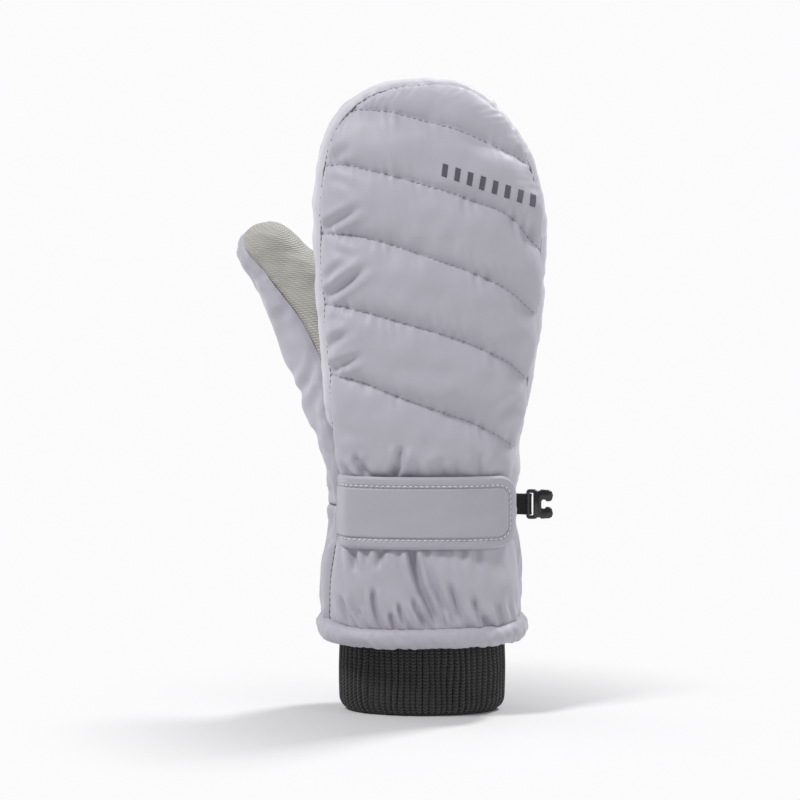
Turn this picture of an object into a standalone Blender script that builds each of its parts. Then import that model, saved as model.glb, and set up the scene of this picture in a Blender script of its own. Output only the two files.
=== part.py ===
"""A right-hand insulated ski mitten, standing on its knit cuff with the fingers up.

Frame: origin on the knit cuff's lower rim, at the middle of its back wall. +Z points towards the
fingertips, +X towards the little finger and -Y out of the back of the hand. The thumb is on the
-X side. The shapes are worked out in millimetres about the cuff's own axis, and add_object()
moves them into the frame, in Blender's metres.
"""

import math

import bmesh
import bpy
from mathutils import Matrix, Vector

MM = 0.001

# --- driving dimensions, in millimetres ---------------------------------------------------------
DOME_BASE = 225.0  # height at which the sides stop and the rounded fingertip begins
DOME_HEIGHT = 74.0
DOME_POWER = 2.45  # roundness of the fingertip seen from the front: 2 is an ellipse
DOME_LEAN = -4.5  # sideways shift of the fingertip at its top
SECTION_POWER = 2.6  # roundness of a cross-section
HEM_TOP = 46.6  # lower edge of the outer panels, just above the padded hem
WRIST_SEAM = 104.0  # where the palm meets the gathered gauntlet
LINING_START = 84.0
SEAM_GAP = 0.009  # between two panels that a seam joins, as a share of half the way round
HALVES_GAP = 0.008  # between the front and rear halves of an inner layer

# Height, thumb-side edge, little-finger-side edge, depth of the back, depth of the palm
STATIONS = (
    (0.0, -49.0, 49.0, 30.0, 29.0),
    (44.0, -47.0, 47.0, 29.0, 28.0),
    (65.0, -46.0, 47.0, 28.0, 27.0),
    (84.0, -43.5, 45.5, 25.5, 24.0),
    (104.0, -42.0, 43.5, 23.5, 21.5),
    (132.0, -46.0, 47.5, 23.5, 21.0),
    (165.0, -50.0, 54.0, 24.5, 20.5),
    (205.0, -51.5, 58.0, 24.5, 20.0),
    (DOME_BASE, -51.5, 58.5, 24.0, 19.5),
    (DOME_BASE + DOME_HEIGHT, -51.5, 58.5, 24.0, 19.5),
)

# Share of the half-width at which the side band meets the back, and the palm at three heights
BACK_SEAM = 0.955
PALM_SEAM = ((WRIST_SEAM, 0.93), (150.0, 0.9), (200.0, 0.855), (300.0, 0.855))

# Depth below the outer surface at which each layer starts, and its thickness
OUTER = (0.0, 0.9)
ELASTIC = (2.1, 0.6)
WADDING = (3.4, 2.2)
MEMBRANE = (6.2, 0.4)
LINING = (7.2, 1.8)
GAUNTLET_LINING = (1.4, 0.7)

# Thumb: centre, half-width across, half-depth, for sections from the ring inside the hand outwards
THUMB = (
    (Vector((-33.0, 17.0, 153.0)), 23.0, 16.0),
    (Vector((-42.5, 24.0, 172.5)), 21.8, 16.0),
    (Vector((-52.5, 27.0, 191.0)), 19.4, 15.5),
    (Vector((-61.5, 28.0, 207.5)), 17.6, 15.0),
    (Vector((-70.0, 27.5, 221.5)), 14.8, 13.5),
)
THUMB_ACROSS = Vector((0.89, 0.0, 0.456)).normalized()  # towards the index finger
THUMB_START = 0.12  # share of the axis at which the sewn thumb begins
THUMB_TIP = 12.5  # length of the rounded tip beyond the last section
THUMB_SEAMS = (math.radians(60.0), math.radians(243.0))  # palm side, back side
THUMB_HOLE_GAP = 1.8
THUMB_SWING_ROOM = 2.0

KNIT_HALF_WIDTH, KNIT_HALF_DEPTH = 38.5, 21.2
KNIT_WALL, KNIT_TOP = 4.2, 81.0
ORIGIN = Vector((0.0, -(KNIT_HALF_DEPTH - KNIT_WALL / 2), 0.0))  # middle of the back wall's rim

HEM_HALF_WIDTH, HEM_HALF_DEPTH, HEM_HEIGHT = 45.4, 28.2, 39.7
HEM_RADIUS, HEM_FABRIC = 6.3, 0.8
HEM_SLIT = math.radians(40.0)

STRAP_MIDDLE, STRAP_HALF_HEIGHT = 97.0, 17.0
STRAP_START, STRAP_END, STRAP_CORNER = 0.9, 0.93, 11.0  # shares of the half-width
STRAP_LAYERS = {"hook_patch": (-2.5, 0.7), "strap_backing": (-4.2, 0.8), "strap_face": (-5.5, 0.8)}
LOOP_PATCH_DEPTH = (-1.4, 0.7)
PATCH_CORNER = 4.0

WEB_WIDTH, WEB_THICKNESS, WEB_HEIGHT = 10.0, 1.1, 97.0
WEB_ROOT = Vector((42.6, 13.6))
CLIP_BAR = Vector((51.0, 12.0))
BAR_RADIUS = 1.0

# Joint axes pass through these points: across the thumb's base, the strap's sewn end, the
# webbing's sewn root and the clip's bar
THUMB_PIVOT = Vector((-37.6, 36.5, 162.4))
STRAP_PIVOT = Vector((-41.5, -15.0, STRAP_MIDDLE))
WEBBING_PIVOT = Vector((WEB_ROOT.x, WEB_ROOT.y - 0.2, WEB_HEIGHT))
CLIP_PIVOT = Vector((CLIP_BAR.x, CLIP_BAR.y, WEB_HEIGHT))
CLIP_LENGTH, CLIP_HEIGHT, CLIP_THICKNESS = 13.0, 14.4, 4.4
CLIP_SLOT_LENGTH, CLIP_SLOT_HEIGHT = 3.0, 11.2
JAW_SLOT_LENGTH, JAW_SLOT_HEIGHT = 5.2, 2.6

LILAC = (0.42, 0.41, 0.46, 1.0)
GRIP = (0.42, 0.415, 0.385, 1.0)
CHARCOAL = (0.03, 0.03, 0.032, 1.0)
BLACK = (0.012, 0.012, 0.012, 1.0)
WHITE = (0.75, 0.75, 0.74, 1.0)
FLEECE = (0.33, 0.33, 0.35, 1.0)

# Divisions of the coarse surfaces
COLUMNS_BACK, COLUMNS_BAND, COLUMNS_PALM = 4, 2, 4
ROW_LENGTH, DOME_ROWS = 17.0, 5
THUMB_COLUMNS = 7


# --- scene --------------------------------------------------------------------------------------
for old in list(bpy.data.objects):
    bpy.data.objects.remove(old, do_unlink=True)
mitten = bpy.data.collections.new("ski_mitten")
cutters = bpy.data.collections.new("cutters")
bpy.context.scene.collection.children.link(mitten)
bpy.context.scene.collection.children.link(cutters)


def make_material(name, colour, roughness, metallic=0.0):
    material = bpy.data.materials.new(name)
    material.use_nodes = True
    shader = material.node_tree.nodes["Principled BSDF"]
    shader.inputs["Base Color"].default_value = colour
    shader.inputs["Roughness"].default_value = roughness
    shader.inputs["Metallic"].default_value = metallic
    return material


def add_object(name, bm, colour, roughness=0.7, collection=None):
    """Turns a bmesh in millimetres about the cuff's axis into a named object in the frame."""
    bmesh.ops.translate(bm, vec=-ORIGIN, verts=bm.verts)
    bmesh.ops.scale(bm, vec=(MM, MM, MM), verts=bm.verts)
    mesh = bpy.data.meshes.new(name)
    bm.to_mesh(mesh)
    bm.free()
    mesh.materials.append(make_material(name, colour, roughness))
    obj = bpy.data.objects.new(name, mesh)
    (collection or mitten).objects.link(obj)
    return obj


def thicken(obj, thickness):
    """Gives an open surface its cloth thickness, inwards from the surface."""
    solid = obj.modifiers.new("cloth", "SOLIDIFY")
    solid.thickness = thickness * MM
    solid.offset = -1.0
    solid.use_even_offset = True
    return obj


def turn_about(name, pivot, objects):
    """Hangs moving pieces on an empty that stands on their joint's axis."""
    hinge = bpy.data.objects.new(name, None)
    hinge.empty_display_size = 0.01
    hinge.location = (pivot - ORIGIN) * MM
    mitten.objects.link(hinge)
    for obj in objects:
        obj.data.transform(Matrix.Translation(-hinge.location))
        obj.parent = hinge
    return hinge


def as_cutter(obj):
    obj.hide_render = True
    obj.display_type = "WIRE"
    return obj


def cut(obj, cutter):
    step = obj.modifiers.new("cut_" + cutter.name, "BOOLEAN")
    step.operation = "DIFFERENCE"
    step.object = cutter
    return obj


# --- curves through stations --------------------------------------------------------------------
def through(stations, at):
    """Smooth curve through (place, value, ...) stations: the values at one place."""
    last = len(stations) - 1
    i = next((n for n in range(last) if at <= stations[n + 1][0]), last - 1)
    x0, x1 = stations[i][0], stations[i + 1][0]
    share = min(1.0, max(0.0, (at - x0) / (x1 - x0)))
    values = []
    for column in range(1, len(stations[0])):
        p0, p1 = stations[i][column], stations[i + 1][column]
        before, after = stations[max(i - 1, 0)], stations[min(i + 2, last)]
        slope0 = (p1 - before[column]) / (x1 - before[0])
        slope1 = (after[column] - p0) / (after[0] - x0)
        m0, m1 = slope0 * (x1 - x0), slope1 * (x1 - x0)
        s2, s3 = share**2, share**3
        value = (2 * s3 - 3 * s2 + 1) * p0 + (s3 - 2 * s2 + share) * m0
        value += (3 * s2 - 2 * s3) * p1 + (s3 - s2) * m1
        values.append(value)
    return values


def palm_seam(height):
    return through(PALM_SEAM, min(height, 299.0))[0]


# --- hand surface -------------------------------------------------------------------------------
def turn_for(share, palm):
    """Turn from the middle of the back (0) to the middle of the palm (1) for a share of the width."""
    turn = math.asin(min(1.0, share) ** (SECTION_POWER / 2)) / math.pi
    return 1.0 - turn if palm else turn


def hand_point(side, climb, turn, inset):
    """Point on the hand. climb below 1 is a share of DOME_BASE; from 1 to 2 it goes over the tip."""
    height = DOME_BASE * min(climb, 1.0)
    thumb_edge, finger_edge, back, palm = through(STATIONS, height)
    spine = (thumb_edge + finger_edge) / 2
    half_width = (finger_edge - thumb_edge) / 2 - inset
    angle = math.pi / 2 * max(0.0, climb - 1.0)
    reach = 2 / DOME_POWER
    across = side * half_width * max(0.0, math.cos(angle)) ** reach
    up = (DOME_HEIGHT - inset) * math.sin(angle) ** reach
    round_ = 2 / SECTION_POWER
    out = max(0.0, math.sin(math.pi * turn)) ** round_
    deep = abs(math.cos(math.pi * turn)) ** round_
    depth = -(back - inset) * deep if turn < 0.5 else (palm - inset) * deep
    lean = DOME_LEAN * up * out / DOME_HEIGHT
    return Vector((spine + across * out + lean, depth, height + up * out))


def climbs(low, high=2.0):
    """Even rows from a height, or a climb over 1, to another."""
    start = low / DOME_BASE if low > 2.0 else low
    stop = high / DOME_BASE if high > 2.0 else high
    rows = []
    straight_stop = min(stop, 1.0)
    if start < 1.0:
        count = max(1, round((straight_stop - start) * DOME_BASE / ROW_LENGTH))
        rows += [start + (straight_stop - start) * n / count for n in range(count + 1)]
    if stop > 1.0:
        first = max(start, 1.0)
        count = max(1, round(DOME_ROWS * (stop - first)))
        fresh = [first + (stop - first) * n / count for n in range(count + 1)]
        rows += fresh[1:] if rows else fresh
    return rows


def height_of(climb):
    return DOME_BASE * min(climb, 1.0) + DOME_HEIGHT * max(0.0, climb - 1.0)


def hand_patch(bm, side, rows, turns, inset):
    """Adds one side's grid. turns gives the list of turns at a height."""
    grid = []
    for climb in rows:
        grid.append([hand_point(side, climb, t, inset) for t in turns(height_of(climb))])
    add_grid(bm, grid, flip=side < 0)


def add_grid(bm, grid, flip=False):
    verts = [[bm.verts.new(point) for point in row] for row in grid]
    for low, high in zip(verts, verts[1:]):
        for a, b, c, d in zip(low, low[1:], high[1:], high):
            bm.faces.new((a, d, c, b) if flip else (a, b, c, d))


def finish_surface(bm):
    bmesh.ops.remove_doubles(bm, verts=bm.verts, dist=0.02)
    bmesh.ops.dissolve_degenerate(bm, edges=bm.edges, dist=0.02)


def even(first, last, count):
    return [first + (last - first) * n / count for n in range(count + 1)]


def back_turns(height, seam=BACK_SEAM):
    return even(0.0, turn_for(seam, False), COLUMNS_BACK)


def band_turns(height):
    first = turn_for(BACK_SEAM, False) + SEAM_GAP
    last = turn_for(palm_seam(height), True) - SEAM_GAP
    return even(first, last, COLUMNS_BAND)


def palm_turns(height):
    return even(turn_for(palm_seam(height), True), 1.0, COLUMNS_PALM)


def gauntlet_turns(height):
    return even(turn_for(BACK_SEAM, False) + SEAM_GAP, 1.0, COLUMNS_BAND + COLUMNS_PALM)


def front_half_turns(height):
    return even(0.0, 0.5 - HALVES_GAP, COLUMNS_BACK + 1)


def rear_half_turns(height):
    return even(0.5 + HALVES_GAP, 1.0, COLUMNS_PALM + 1)


def elastic_turns(height):
    return even(0.56, 1.0, 8)


def all_turns(height):
    return even(0.0, 1.0, COLUMNS_BACK + COLUMNS_BAND + COLUMNS_PALM)


def hand_layer(name, low, high, turns, layer, colour, roughness=0.7, sides=(-1, 1)):
    """One cloth layer of the hand between two heights, as an open sheet with thickness."""
    inset, thickness = layer
    bm = bmesh.new()
    for side in sides:
        hand_patch(bm, side, climbs(low, high), turns, inset)
    finish_surface(bm)
    return thicken(add_object(name, bm, colour, roughness), thickness)


# --- thumb surface ------------------------------------------------------------------------------
def thumb_section(share):
    """Centre, half-width and half-depth at a share of the thumb's axis."""
    last = len(THUMB) - 1
    place = min(max(share, 0.0), 1.0) * last
    i = min(int(place), last - 1)
    blend = place - i
    (c0, w0, d0), (c1, w1, d1) = THUMB[i], THUMB[i + 1]
    return c0.lerp(c1, blend), w0 + (w1 - w0) * blend, d0 + (d1 - d0) * blend


def thumb_axis():
    return (THUMB[-1][0] - THUMB[-2][0]).normalized()


def thumb_point(share, angle, inset):
    """Point on the thumb. share below 1 runs along the axis; from 1 to 2 it rounds the tip."""
    centre, half_width, half_depth = thumb_section(share)
    if share > 1.0:
        rounding = math.pi / 2 * (share - 1.0)
        centre = centre + thumb_axis() * (THUMB_TIP - inset) * math.sin(rounding)
        shrink = math.cos(rounding)
    else:
        shrink = 1.0
    across = (half_width - inset) * shrink * math.cos(angle)
    outward = (half_depth - inset) * shrink * math.sin(angle)
    return centre + THUMB_ACROSS * across + Vector((0.0, outward, 0.0))


def thumb_rows(last):
    return even(THUMB_START, 1.0, 4) + even(1.0, last, 4)[1:]


def thumb_layer(name, angles, layer, colour, roughness=0.7, last=2.0):
    inset, thickness = layer
    bm = bmesh.new()
    grid = [[thumb_point(row, angle, inset) for angle in angles] for row in thumb_rows(last)]
    add_grid(bm, grid)
    finish_surface(bm)
    return thicken(add_object(name, bm, colour, roughness), thickness)


def closed_loft(bm, rings):
    """Closed body through rings of equal length, capped at both ends."""
    loops = [[bm.verts.new(point) for point in ring] for ring in rings]
    for low, high in zip(loops, loops[1:]):
        for n in range(len(low)):
            m = (n + 1) % len(low)
            bm.faces.new((low[n], low[m], high[m], high[n]))
    bm.faces.new(loops[0][::-1])
    bm.faces.new(loops[-1])
    bmesh.ops.recalc_face_normals(bm, faces=bm.faces)


def thumb_hole_cutter():
    """The thumb's own outline with a gap round it, and room below for its swing."""
    angles = even(0.0, math.tau, 2 * THUMB_COLUMNS)[:-1]
    rows = even(0.0, 1.0, 5)
    rings = [[thumb_point(row, a, -THUMB_HOLE_GAP) for a in angles] for row in rows]
    start = thumb_section(THUMB_START)[0]
    below = start - thumb_axis() * THUMB_SWING_ROOM - THUMB[0][0]
    rings[0] = [point + below for point in rings[0]]
    tip = thumb_axis() * (THUMB_TIP + 4.0)
    rings.append([point + tip for point in rings[-1]])
    bm = bmesh.new()
    closed_loft(bm, rings)
    return as_cutter(add_object("thumb_hole", bm, BLACK, collection=cutters))


# --- heel of the thumb --------------------------------------------------------------------------
HEEL_ROWS, HEEL_COLUMNS = 6, 7
HEEL_INNER = ((0.0, -9.0, 22.1, 104.6), (0.5, -10.0, 22.4, 134.0), (1.0, -14.0, 25.0, 174.0))
HEEL_CREST = ((0.0, -33.0, 21.0, 104.6), (0.5, -42.0, 30.0, 130.0), (1.0, -40.0, 38.0, 164.0))
HEEL_OUTER = ((0.0, -40.6, 11.6, 104.6), (0.5, -45.5, 12.6, 128.0), (1.0, -52.0, 12.0, 156.0))


def heel_point(climb, turn, out):
    """Arc from the inner seam over the crest to the side band, at a share of the heel's height."""
    inner, crest, outer = (Vector(through(c, climb)) for c in (HEEL_INNER, HEEL_CREST, HEEL_OUTER))
    middle = (inner + outer) / 2
    rise = crest - middle
    rise = rise * (1.0 + out / rise.length)
    half = (inner - outer) / 2
    half = half * (1.0 + out / half.length)
    return middle + half * math.cos(math.pi * turn) + rise * math.sin(math.pi * turn)


def heel_panel():
    bm = bmesh.new()
    grid = [
        [heel_point(row, turn, 0.0) for turn in even(0.0, 1.0, HEEL_COLUMNS)]
        for row in even(0.0, 1.0, HEEL_ROWS)
    ]
    add_grid(bm, grid)
    return thicken(add_object("thumb_heel_panel", bm, LILAC, 0.45), OUTER[1])


def heel_cutter(name, deep):
    """Takes the palm layers away where the heel panel and the thumb's space come through."""
    rings = []
    for row in even(-0.0, 1.0, HEEL_ROWS):
        arc = [heel_point(row, turn, 0.6) for turn in even(0.0, 1.0, HEEL_COLUMNS)]
        inner, outer = arc[0], arc[-1]
        inward = Vector((0.0, -deep, 0.0))
        rings.append(arc + [outer + inward, inner + inward])
    low = [point - Vector((0.0, 0.0, 1.2)) for point in rings[0]]
    bm = bmesh.new()
    closed_loft(bm, [low] + rings)
    return as_cutter(add_object(name, bm, BLACK, collection=cutters))


# --- cuff, hem, elastic -------------------------------------------------------------------------
def oval(half_width, half_depth, height, count):
    points = []
    for n in range(count):
        angle = math.tau * n / count
        points.append(Vector((half_width * math.cos(angle), half_depth * math.sin(angle), height)))
    return points


def knit_cuff():
    """Rib-knit tube: an open oval sleeve, drawn in a little at the top, with its wall inwards."""
    levels = ((0.0, 0.0), (36.0, 0.0), (KNIT_TOP, -1.2))
    bm = bmesh.new()
    grid = []
    for height, change in levels:
        ring = oval(KNIT_HALF_WIDTH + change, KNIT_HALF_DEPTH + change, height, 32)
        grid.append(ring + ring[:1])
    add_grid(bm, grid)
    finish_surface(bm)
    return thicken(add_object("knit_cuff", bm, CHARCOAL, 0.95), KNIT_WALL)


def hem_ring(name, radius, slit, colour, count=32, around=10):
    """Ring round the gauntlet's mouth: a C-section of cloth with a slit, or a full cord."""
    bm = bmesh.new()
    grid = []
    for n in range(count + 1):
        angle = math.tau * n / count
        path = Vector((HEM_HALF_WIDTH * math.cos(angle), HEM_HALF_DEPTH * math.sin(angle), 0.0))
        normal = Vector((path.x / HEM_HALF_WIDTH**2, path.y / HEM_HALF_DEPTH**2, 0.0)).normalized()
        row = []
        for turn in even(math.pi + slit / 2, 3 * math.pi - slit / 2, around):
            point = path + normal * radius * math.cos(turn)
            row.append(point + Vector((0.0, 0.0, HEM_HEIGHT + radius * math.sin(turn))))
        grid.append(row)
    add_grid(bm, grid, flip=True)
    finish_surface(bm)
    return add_object(name, bm, colour, 0.5)


# --- strap --------------------------------------------------------------------------------------
def back_point(across, height, inset):
    """Point on the back by its share of the half-width, negative towards the thumb."""
    side = -1 if across < 0 else 1
    return hand_point(side, height / DOME_BASE, turn_for(abs(across), False), inset)


def back_sheet(name, first, last, half_height, corner, layer, colour, roughness):
    """Sheet that follows the back of the wrist, with rounded corners at its last end."""
    inset, thickness = layer
    bm = bmesh.new()
    grid = []
    half_width = 43.0
    for across in even(first, last, 12):
        to_end = (last - across) * half_width
        trim = 0.0
        if to_end < corner:
            trim = corner - math.sqrt(max(0.0, corner**2 - (corner - to_end) ** 2))
        low = STRAP_MIDDLE - half_height + trim
        high = STRAP_MIDDLE + half_height - trim
        grid.append([back_point(across, z, inset) for z in even(low, high, 2)])
    add_grid(bm, grid, flip=True)
    finish_surface(bm)
    return thicken(add_object(name, bm, colour, roughness), thickness)


# --- clip and its webbing -----------------------------------------------------------------------
def webbing_loop():
    """Doubled tape, sewn at the wrist, that passes round the clip's bar."""
    wrap = BAR_RADIUS + 0.5 + WEB_THICKNESS
    path = [Vector((WEB_ROOT.x, WEB_ROOT.y + 0.9)), Vector((CLIP_BAR.x - 3.0, CLIP_BAR.y + wrap))]
    for n in range(7):
        angle = math.pi / 2 - math.pi * n / 6
        path.append(CLIP_BAR + Vector((math.cos(angle), math.sin(angle))) * wrap)
    path += [Vector((CLIP_BAR.x - 3.0, CLIP_BAR.y - wrap)), Vector((WEB_ROOT.x, WEB_ROOT.y - 1.4))]
    bm = bmesh.new()
    low, high = WEB_HEIGHT - WEB_WIDTH / 2, WEB_HEIGHT + WEB_WIDTH / 2
    add_grid(bm, [[Vector((p.x, p.y, z)) for z in (low, high)] for p in path])
    return thicken(add_object("clip_webbing", bm, BLACK, 0.8), WEB_THICKNESS)


def add_box(bm, low, high):
    middle = (Vector(low) + Vector(high)) / 2
    size = Vector(high) - Vector(low)
    place = Matrix.Translation(middle) @ Matrix.Diagonal((*size, 1.0))
    return bmesh.ops.create_cube(bm, size=1.0, matrix=place)["verts"]


def box_object(name, low, high, collection=None):
    bm = bmesh.new()
    add_box(bm, low, high)
    return add_object(name, bm, BLACK, 0.3, collection)


def glove_clip():
    """One moulding: a bar for the webbing at one end, and two jaws with a slot between them."""
    left = CLIP_BAR.x - BAR_RADIUS
    right = left + CLIP_LENGTH
    half_y, half_z = CLIP_THICKNESS / 2, CLIP_HEIGHT / 2
    body = box_object(
        "glove_clip",
        (left, CLIP_BAR.y - half_y, WEB_HEIGHT - half_z),
        (right, CLIP_BAR.y + half_y, WEB_HEIGHT + half_z),
    )
    slot_left = CLIP_BAR.x + BAR_RADIUS
    slot = box_object(
        "clip_webbing_slot",
        (slot_left, CLIP_BAR.y - 9.0, WEB_HEIGHT - CLIP_SLOT_HEIGHT / 2),
        (slot_left + CLIP_SLOT_LENGTH, CLIP_BAR.y + 9.0, WEB_HEIGHT + CLIP_SLOT_HEIGHT / 2),
        cutters,
    )
    jaws = box_object(
        "clip_jaw_slot",
        (right - JAW_SLOT_LENGTH, CLIP_BAR.y - 9.0, WEB_HEIGHT - JAW_SLOT_HEIGHT / 2),
        (right + 3.0, CLIP_BAR.y + 9.0, WEB_HEIGHT + JAW_SLOT_HEIGHT / 2),
        cutters,
    )
    thinned = []
    for sign in (-1, 1):
        wall = CLIP_BAR.y + sign * BAR_RADIUS
        low_y, high_y = sorted((wall, wall + sign * 4.0))
        side = "rear" if sign > 0 else "front"
        thinned.append(
            box_object(
                "clip_bar_relief_" + side,
                (left - 1.0, low_y, WEB_HEIGHT - CLIP_SLOT_HEIGHT / 2),
                (slot_left + 0.5, high_y, WEB_HEIGHT + CLIP_SLOT_HEIGHT / 2),
                cutters,
            )
        )
    for cutter in (slot, jaws, *thinned):
        cut(body, as_cutter(cutter))
    edge = body.modifiers.new("moulded_edges", "BEVEL")
    edge.width = 0.35 * MM
    edge.segments = 1
    edge.limit_method = "ANGLE"
    return body


# --- build --------------------------------------------------------------------------------------
def build_hand():
    hand_layer("back_panel", HEM_TOP, 2.0, back_turns, OUTER, LILAC, 0.45)
    for name, side in (("side_band_thumb", -1), ("side_band_little_finger", 1)):
        top = 2.0 - SEAM_GAP
        hand_layer(name, WRIST_SEAM + 0.6, top, band_turns, OUTER, LILAC, 0.45, (side,))
    palm = hand_layer("palm_grip_panel", WRIST_SEAM + 0.6, 2.0, palm_turns, OUTER, GRIP, 0.65)
    gauntlet = hand_layer(
        "gauntlet_palm_panel", HEM_TOP, WRIST_SEAM, gauntlet_turns, OUTER, LILAC, 0.45
    )
    hand_layer("wrist_elastic", 88.0, 110.0, elastic_turns, ELASTIC, WHITE)
    back_fill = hand_layer("back_wadding", 86.0, 2.0, front_half_turns, WADDING, WHITE, 0.9)
    palm_fill = hand_layer("palm_wadding", 86.0, 2.0, rear_half_turns, WADDING, WHITE, 0.9)
    membrane = hand_layer("waterproof_insert", 86.0, 2.0, all_turns, MEMBRANE, WHITE, 0.3)
    back_lining = hand_layer("lining_back", LINING_START, 2.0, front_half_turns, LINING, FLEECE)
    palm_lining = hand_layer("lining_palm", LINING_START, 2.0, rear_half_turns, LINING, FLEECE)
    hand_layer("gauntlet_lining", HEM_TOP, 83.0, all_turns, GAUNTLET_LINING, FLEECE)
    return palm, gauntlet, back_fill, palm_fill, membrane, back_lining, palm_lining


def build_thumb():
    palm_side, back_side = THUMB_SEAMS
    seam = math.radians(2.2)
    outer = even(palm_side + seam, back_side - seam, THUMB_COLUMNS + 1)
    pad = even(back_side + seam, palm_side + math.tau - seam, THUMB_COLUMNS)
    whole = even(0.0, math.tau, 2 * THUMB_COLUMNS)
    pieces = [
        thumb_layer("thumb_outer_panel", outer, OUTER, LILAC, 0.45, last=1.86),
        thumb_layer("thumb_grip_panel", pad, OUTER, GRIP, 0.65),
        thumb_layer("thumb_wadding", whole, (1.5, 2.5), WHITE, 0.9),
        thumb_layer("thumb_waterproof_insert", whole, (4.5, 0.4), WHITE, 0.3),
        thumb_layer("thumb_lining", whole, (5.4, 1.6), FLEECE),
    ]
    turn_about("thumb_swing", THUMB_PIVOT, pieces)


def build_cuff():
    knit_cuff()
    thicken(hem_ring("hem_binding", HEM_RADIUS, HEM_SLIT, LILAC), HEM_FABRIC)
    hem_ring("hem_cord", HEM_RADIUS - HEM_FABRIC - 0.5, 0.0, WHITE)


def build_strap():
    face = back_sheet(
        "strap_face",
        -STRAP_START,
        STRAP_END,
        STRAP_HALF_HEIGHT,
        STRAP_CORNER,
        STRAP_LAYERS["strap_face"],
        LILAC,
        0.45,
    )
    backing = back_sheet(
        "strap_backing",
        -STRAP_START,
        STRAP_END - 0.01,
        STRAP_HALF_HEIGHT - 0.5,
        STRAP_CORNER,
        STRAP_LAYERS["strap_backing"],
        LILAC,
        0.6,
    )
    hooks = back_sheet(
        "hook_patch",
        0.42,
        STRAP_END - 0.05,
        STRAP_HALF_HEIGHT - 5.0,
        PATCH_CORNER,
        STRAP_LAYERS["hook_patch"],
        LILAC,
        0.9,
    )
    back_sheet(
        "loop_patch",
        0.1,
        STRAP_END - 0.05,
        STRAP_HALF_HEIGHT - 4.0,
        PATCH_CORNER,
        LOOP_PATCH_DEPTH,
        LILAC,
        0.95,
    )
    turn_about("strap_peel", STRAP_PIVOT, (face, backing, hooks))


palm_panel, gauntlet_panel, back_pad, palm_pad, insert, lining_b, lining_p = build_hand()
build_thumb()
build_cuff()
build_strap()
turn_about("webbing_bend", WEBBING_PIVOT, [webbing_loop()])
turn_about("clip_swing", CLIP_PIVOT, [glove_clip()])
heel = heel_panel()

hole = thumb_hole_cutter()
heel_room = heel_cutter("heel_room", 16.0)
thumb_side_band = bpy.data.objects["side_band_thumb"]
for layer_object in (palm_panel, palm_pad, insert, lining_p, thumb_side_band, back_pad, lining_b):
    cut(layer_object, hole)
for layer_object in (palm_panel, palm_pad):
    cut(layer_object, heel_room)
cut(heel, hole)
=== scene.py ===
import math

import bmesh
import bpy
import numpy as np
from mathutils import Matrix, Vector
from mathutils.bvhtree import BVHTree
from mathutils.interpolate import poly_3d_calc

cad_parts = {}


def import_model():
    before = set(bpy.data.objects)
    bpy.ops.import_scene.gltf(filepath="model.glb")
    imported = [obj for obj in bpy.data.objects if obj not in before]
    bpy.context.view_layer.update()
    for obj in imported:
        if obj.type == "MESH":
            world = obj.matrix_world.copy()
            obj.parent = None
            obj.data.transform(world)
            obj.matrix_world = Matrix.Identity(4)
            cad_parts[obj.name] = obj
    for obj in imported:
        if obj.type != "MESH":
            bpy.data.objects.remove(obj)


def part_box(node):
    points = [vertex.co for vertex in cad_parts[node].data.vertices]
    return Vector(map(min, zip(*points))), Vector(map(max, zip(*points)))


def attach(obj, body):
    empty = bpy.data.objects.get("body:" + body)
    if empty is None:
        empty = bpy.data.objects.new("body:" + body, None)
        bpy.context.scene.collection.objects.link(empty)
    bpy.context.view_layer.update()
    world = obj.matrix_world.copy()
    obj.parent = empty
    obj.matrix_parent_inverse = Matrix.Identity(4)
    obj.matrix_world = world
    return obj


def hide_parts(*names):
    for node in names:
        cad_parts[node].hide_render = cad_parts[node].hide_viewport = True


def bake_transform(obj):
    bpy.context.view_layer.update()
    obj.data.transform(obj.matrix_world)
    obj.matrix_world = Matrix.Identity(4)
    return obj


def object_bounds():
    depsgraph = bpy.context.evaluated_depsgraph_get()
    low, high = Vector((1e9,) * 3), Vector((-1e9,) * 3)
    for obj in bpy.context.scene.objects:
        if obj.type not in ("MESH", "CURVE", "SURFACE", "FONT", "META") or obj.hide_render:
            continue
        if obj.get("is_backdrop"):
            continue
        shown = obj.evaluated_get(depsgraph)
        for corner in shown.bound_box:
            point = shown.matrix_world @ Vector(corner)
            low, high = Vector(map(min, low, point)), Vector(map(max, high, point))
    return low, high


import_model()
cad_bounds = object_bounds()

# Shapes are worked out in millimetres about the knit cuff's own axis. world() moves them into
# the frame. -Y is out of the back of the hand, +X is the little-finger side.
MM = 0.001
PI = math.pi


def box_of(node):
    """A CAD node's lowest and highest corners, in millimetres."""
    return [np.array(corner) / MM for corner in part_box(node)]


AXIS_Y = float(np.mean([corner[1] for corner in box_of("knit_cuff")]))
SPINE_X = 2  # middle of the hand
DOME_BASE, DOME_HEIGHT = 225, 74
DOME_ARC = 205  # length of the outline over the fingertips
DOME_POWERS = (2.07, 2.95)  # little-finger side, thumb side
SECTION_POWER = 2.45  # 2 is an ellipse, more is squarer
HEM_TOP, WRIST = 40.5, 99  # lowest edges of the gauntlet and of the palm
HEM_LINE = 44.5
STRAP_LOW, STRAP_HIGH = 80.5, 114
CLIP_Z = 97  # middle of the tape and clip
BACK_SHARE_THUMB, BACK_SHARE_FINGER = 0.955, 0.985  # of the half-width, at the back's seams
OUTSIDE = 120  # further out than any surface
CLOTH = 0.8  # thickness of a fabric layer
WELD = 0.02  # points nearer than this are joined


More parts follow.
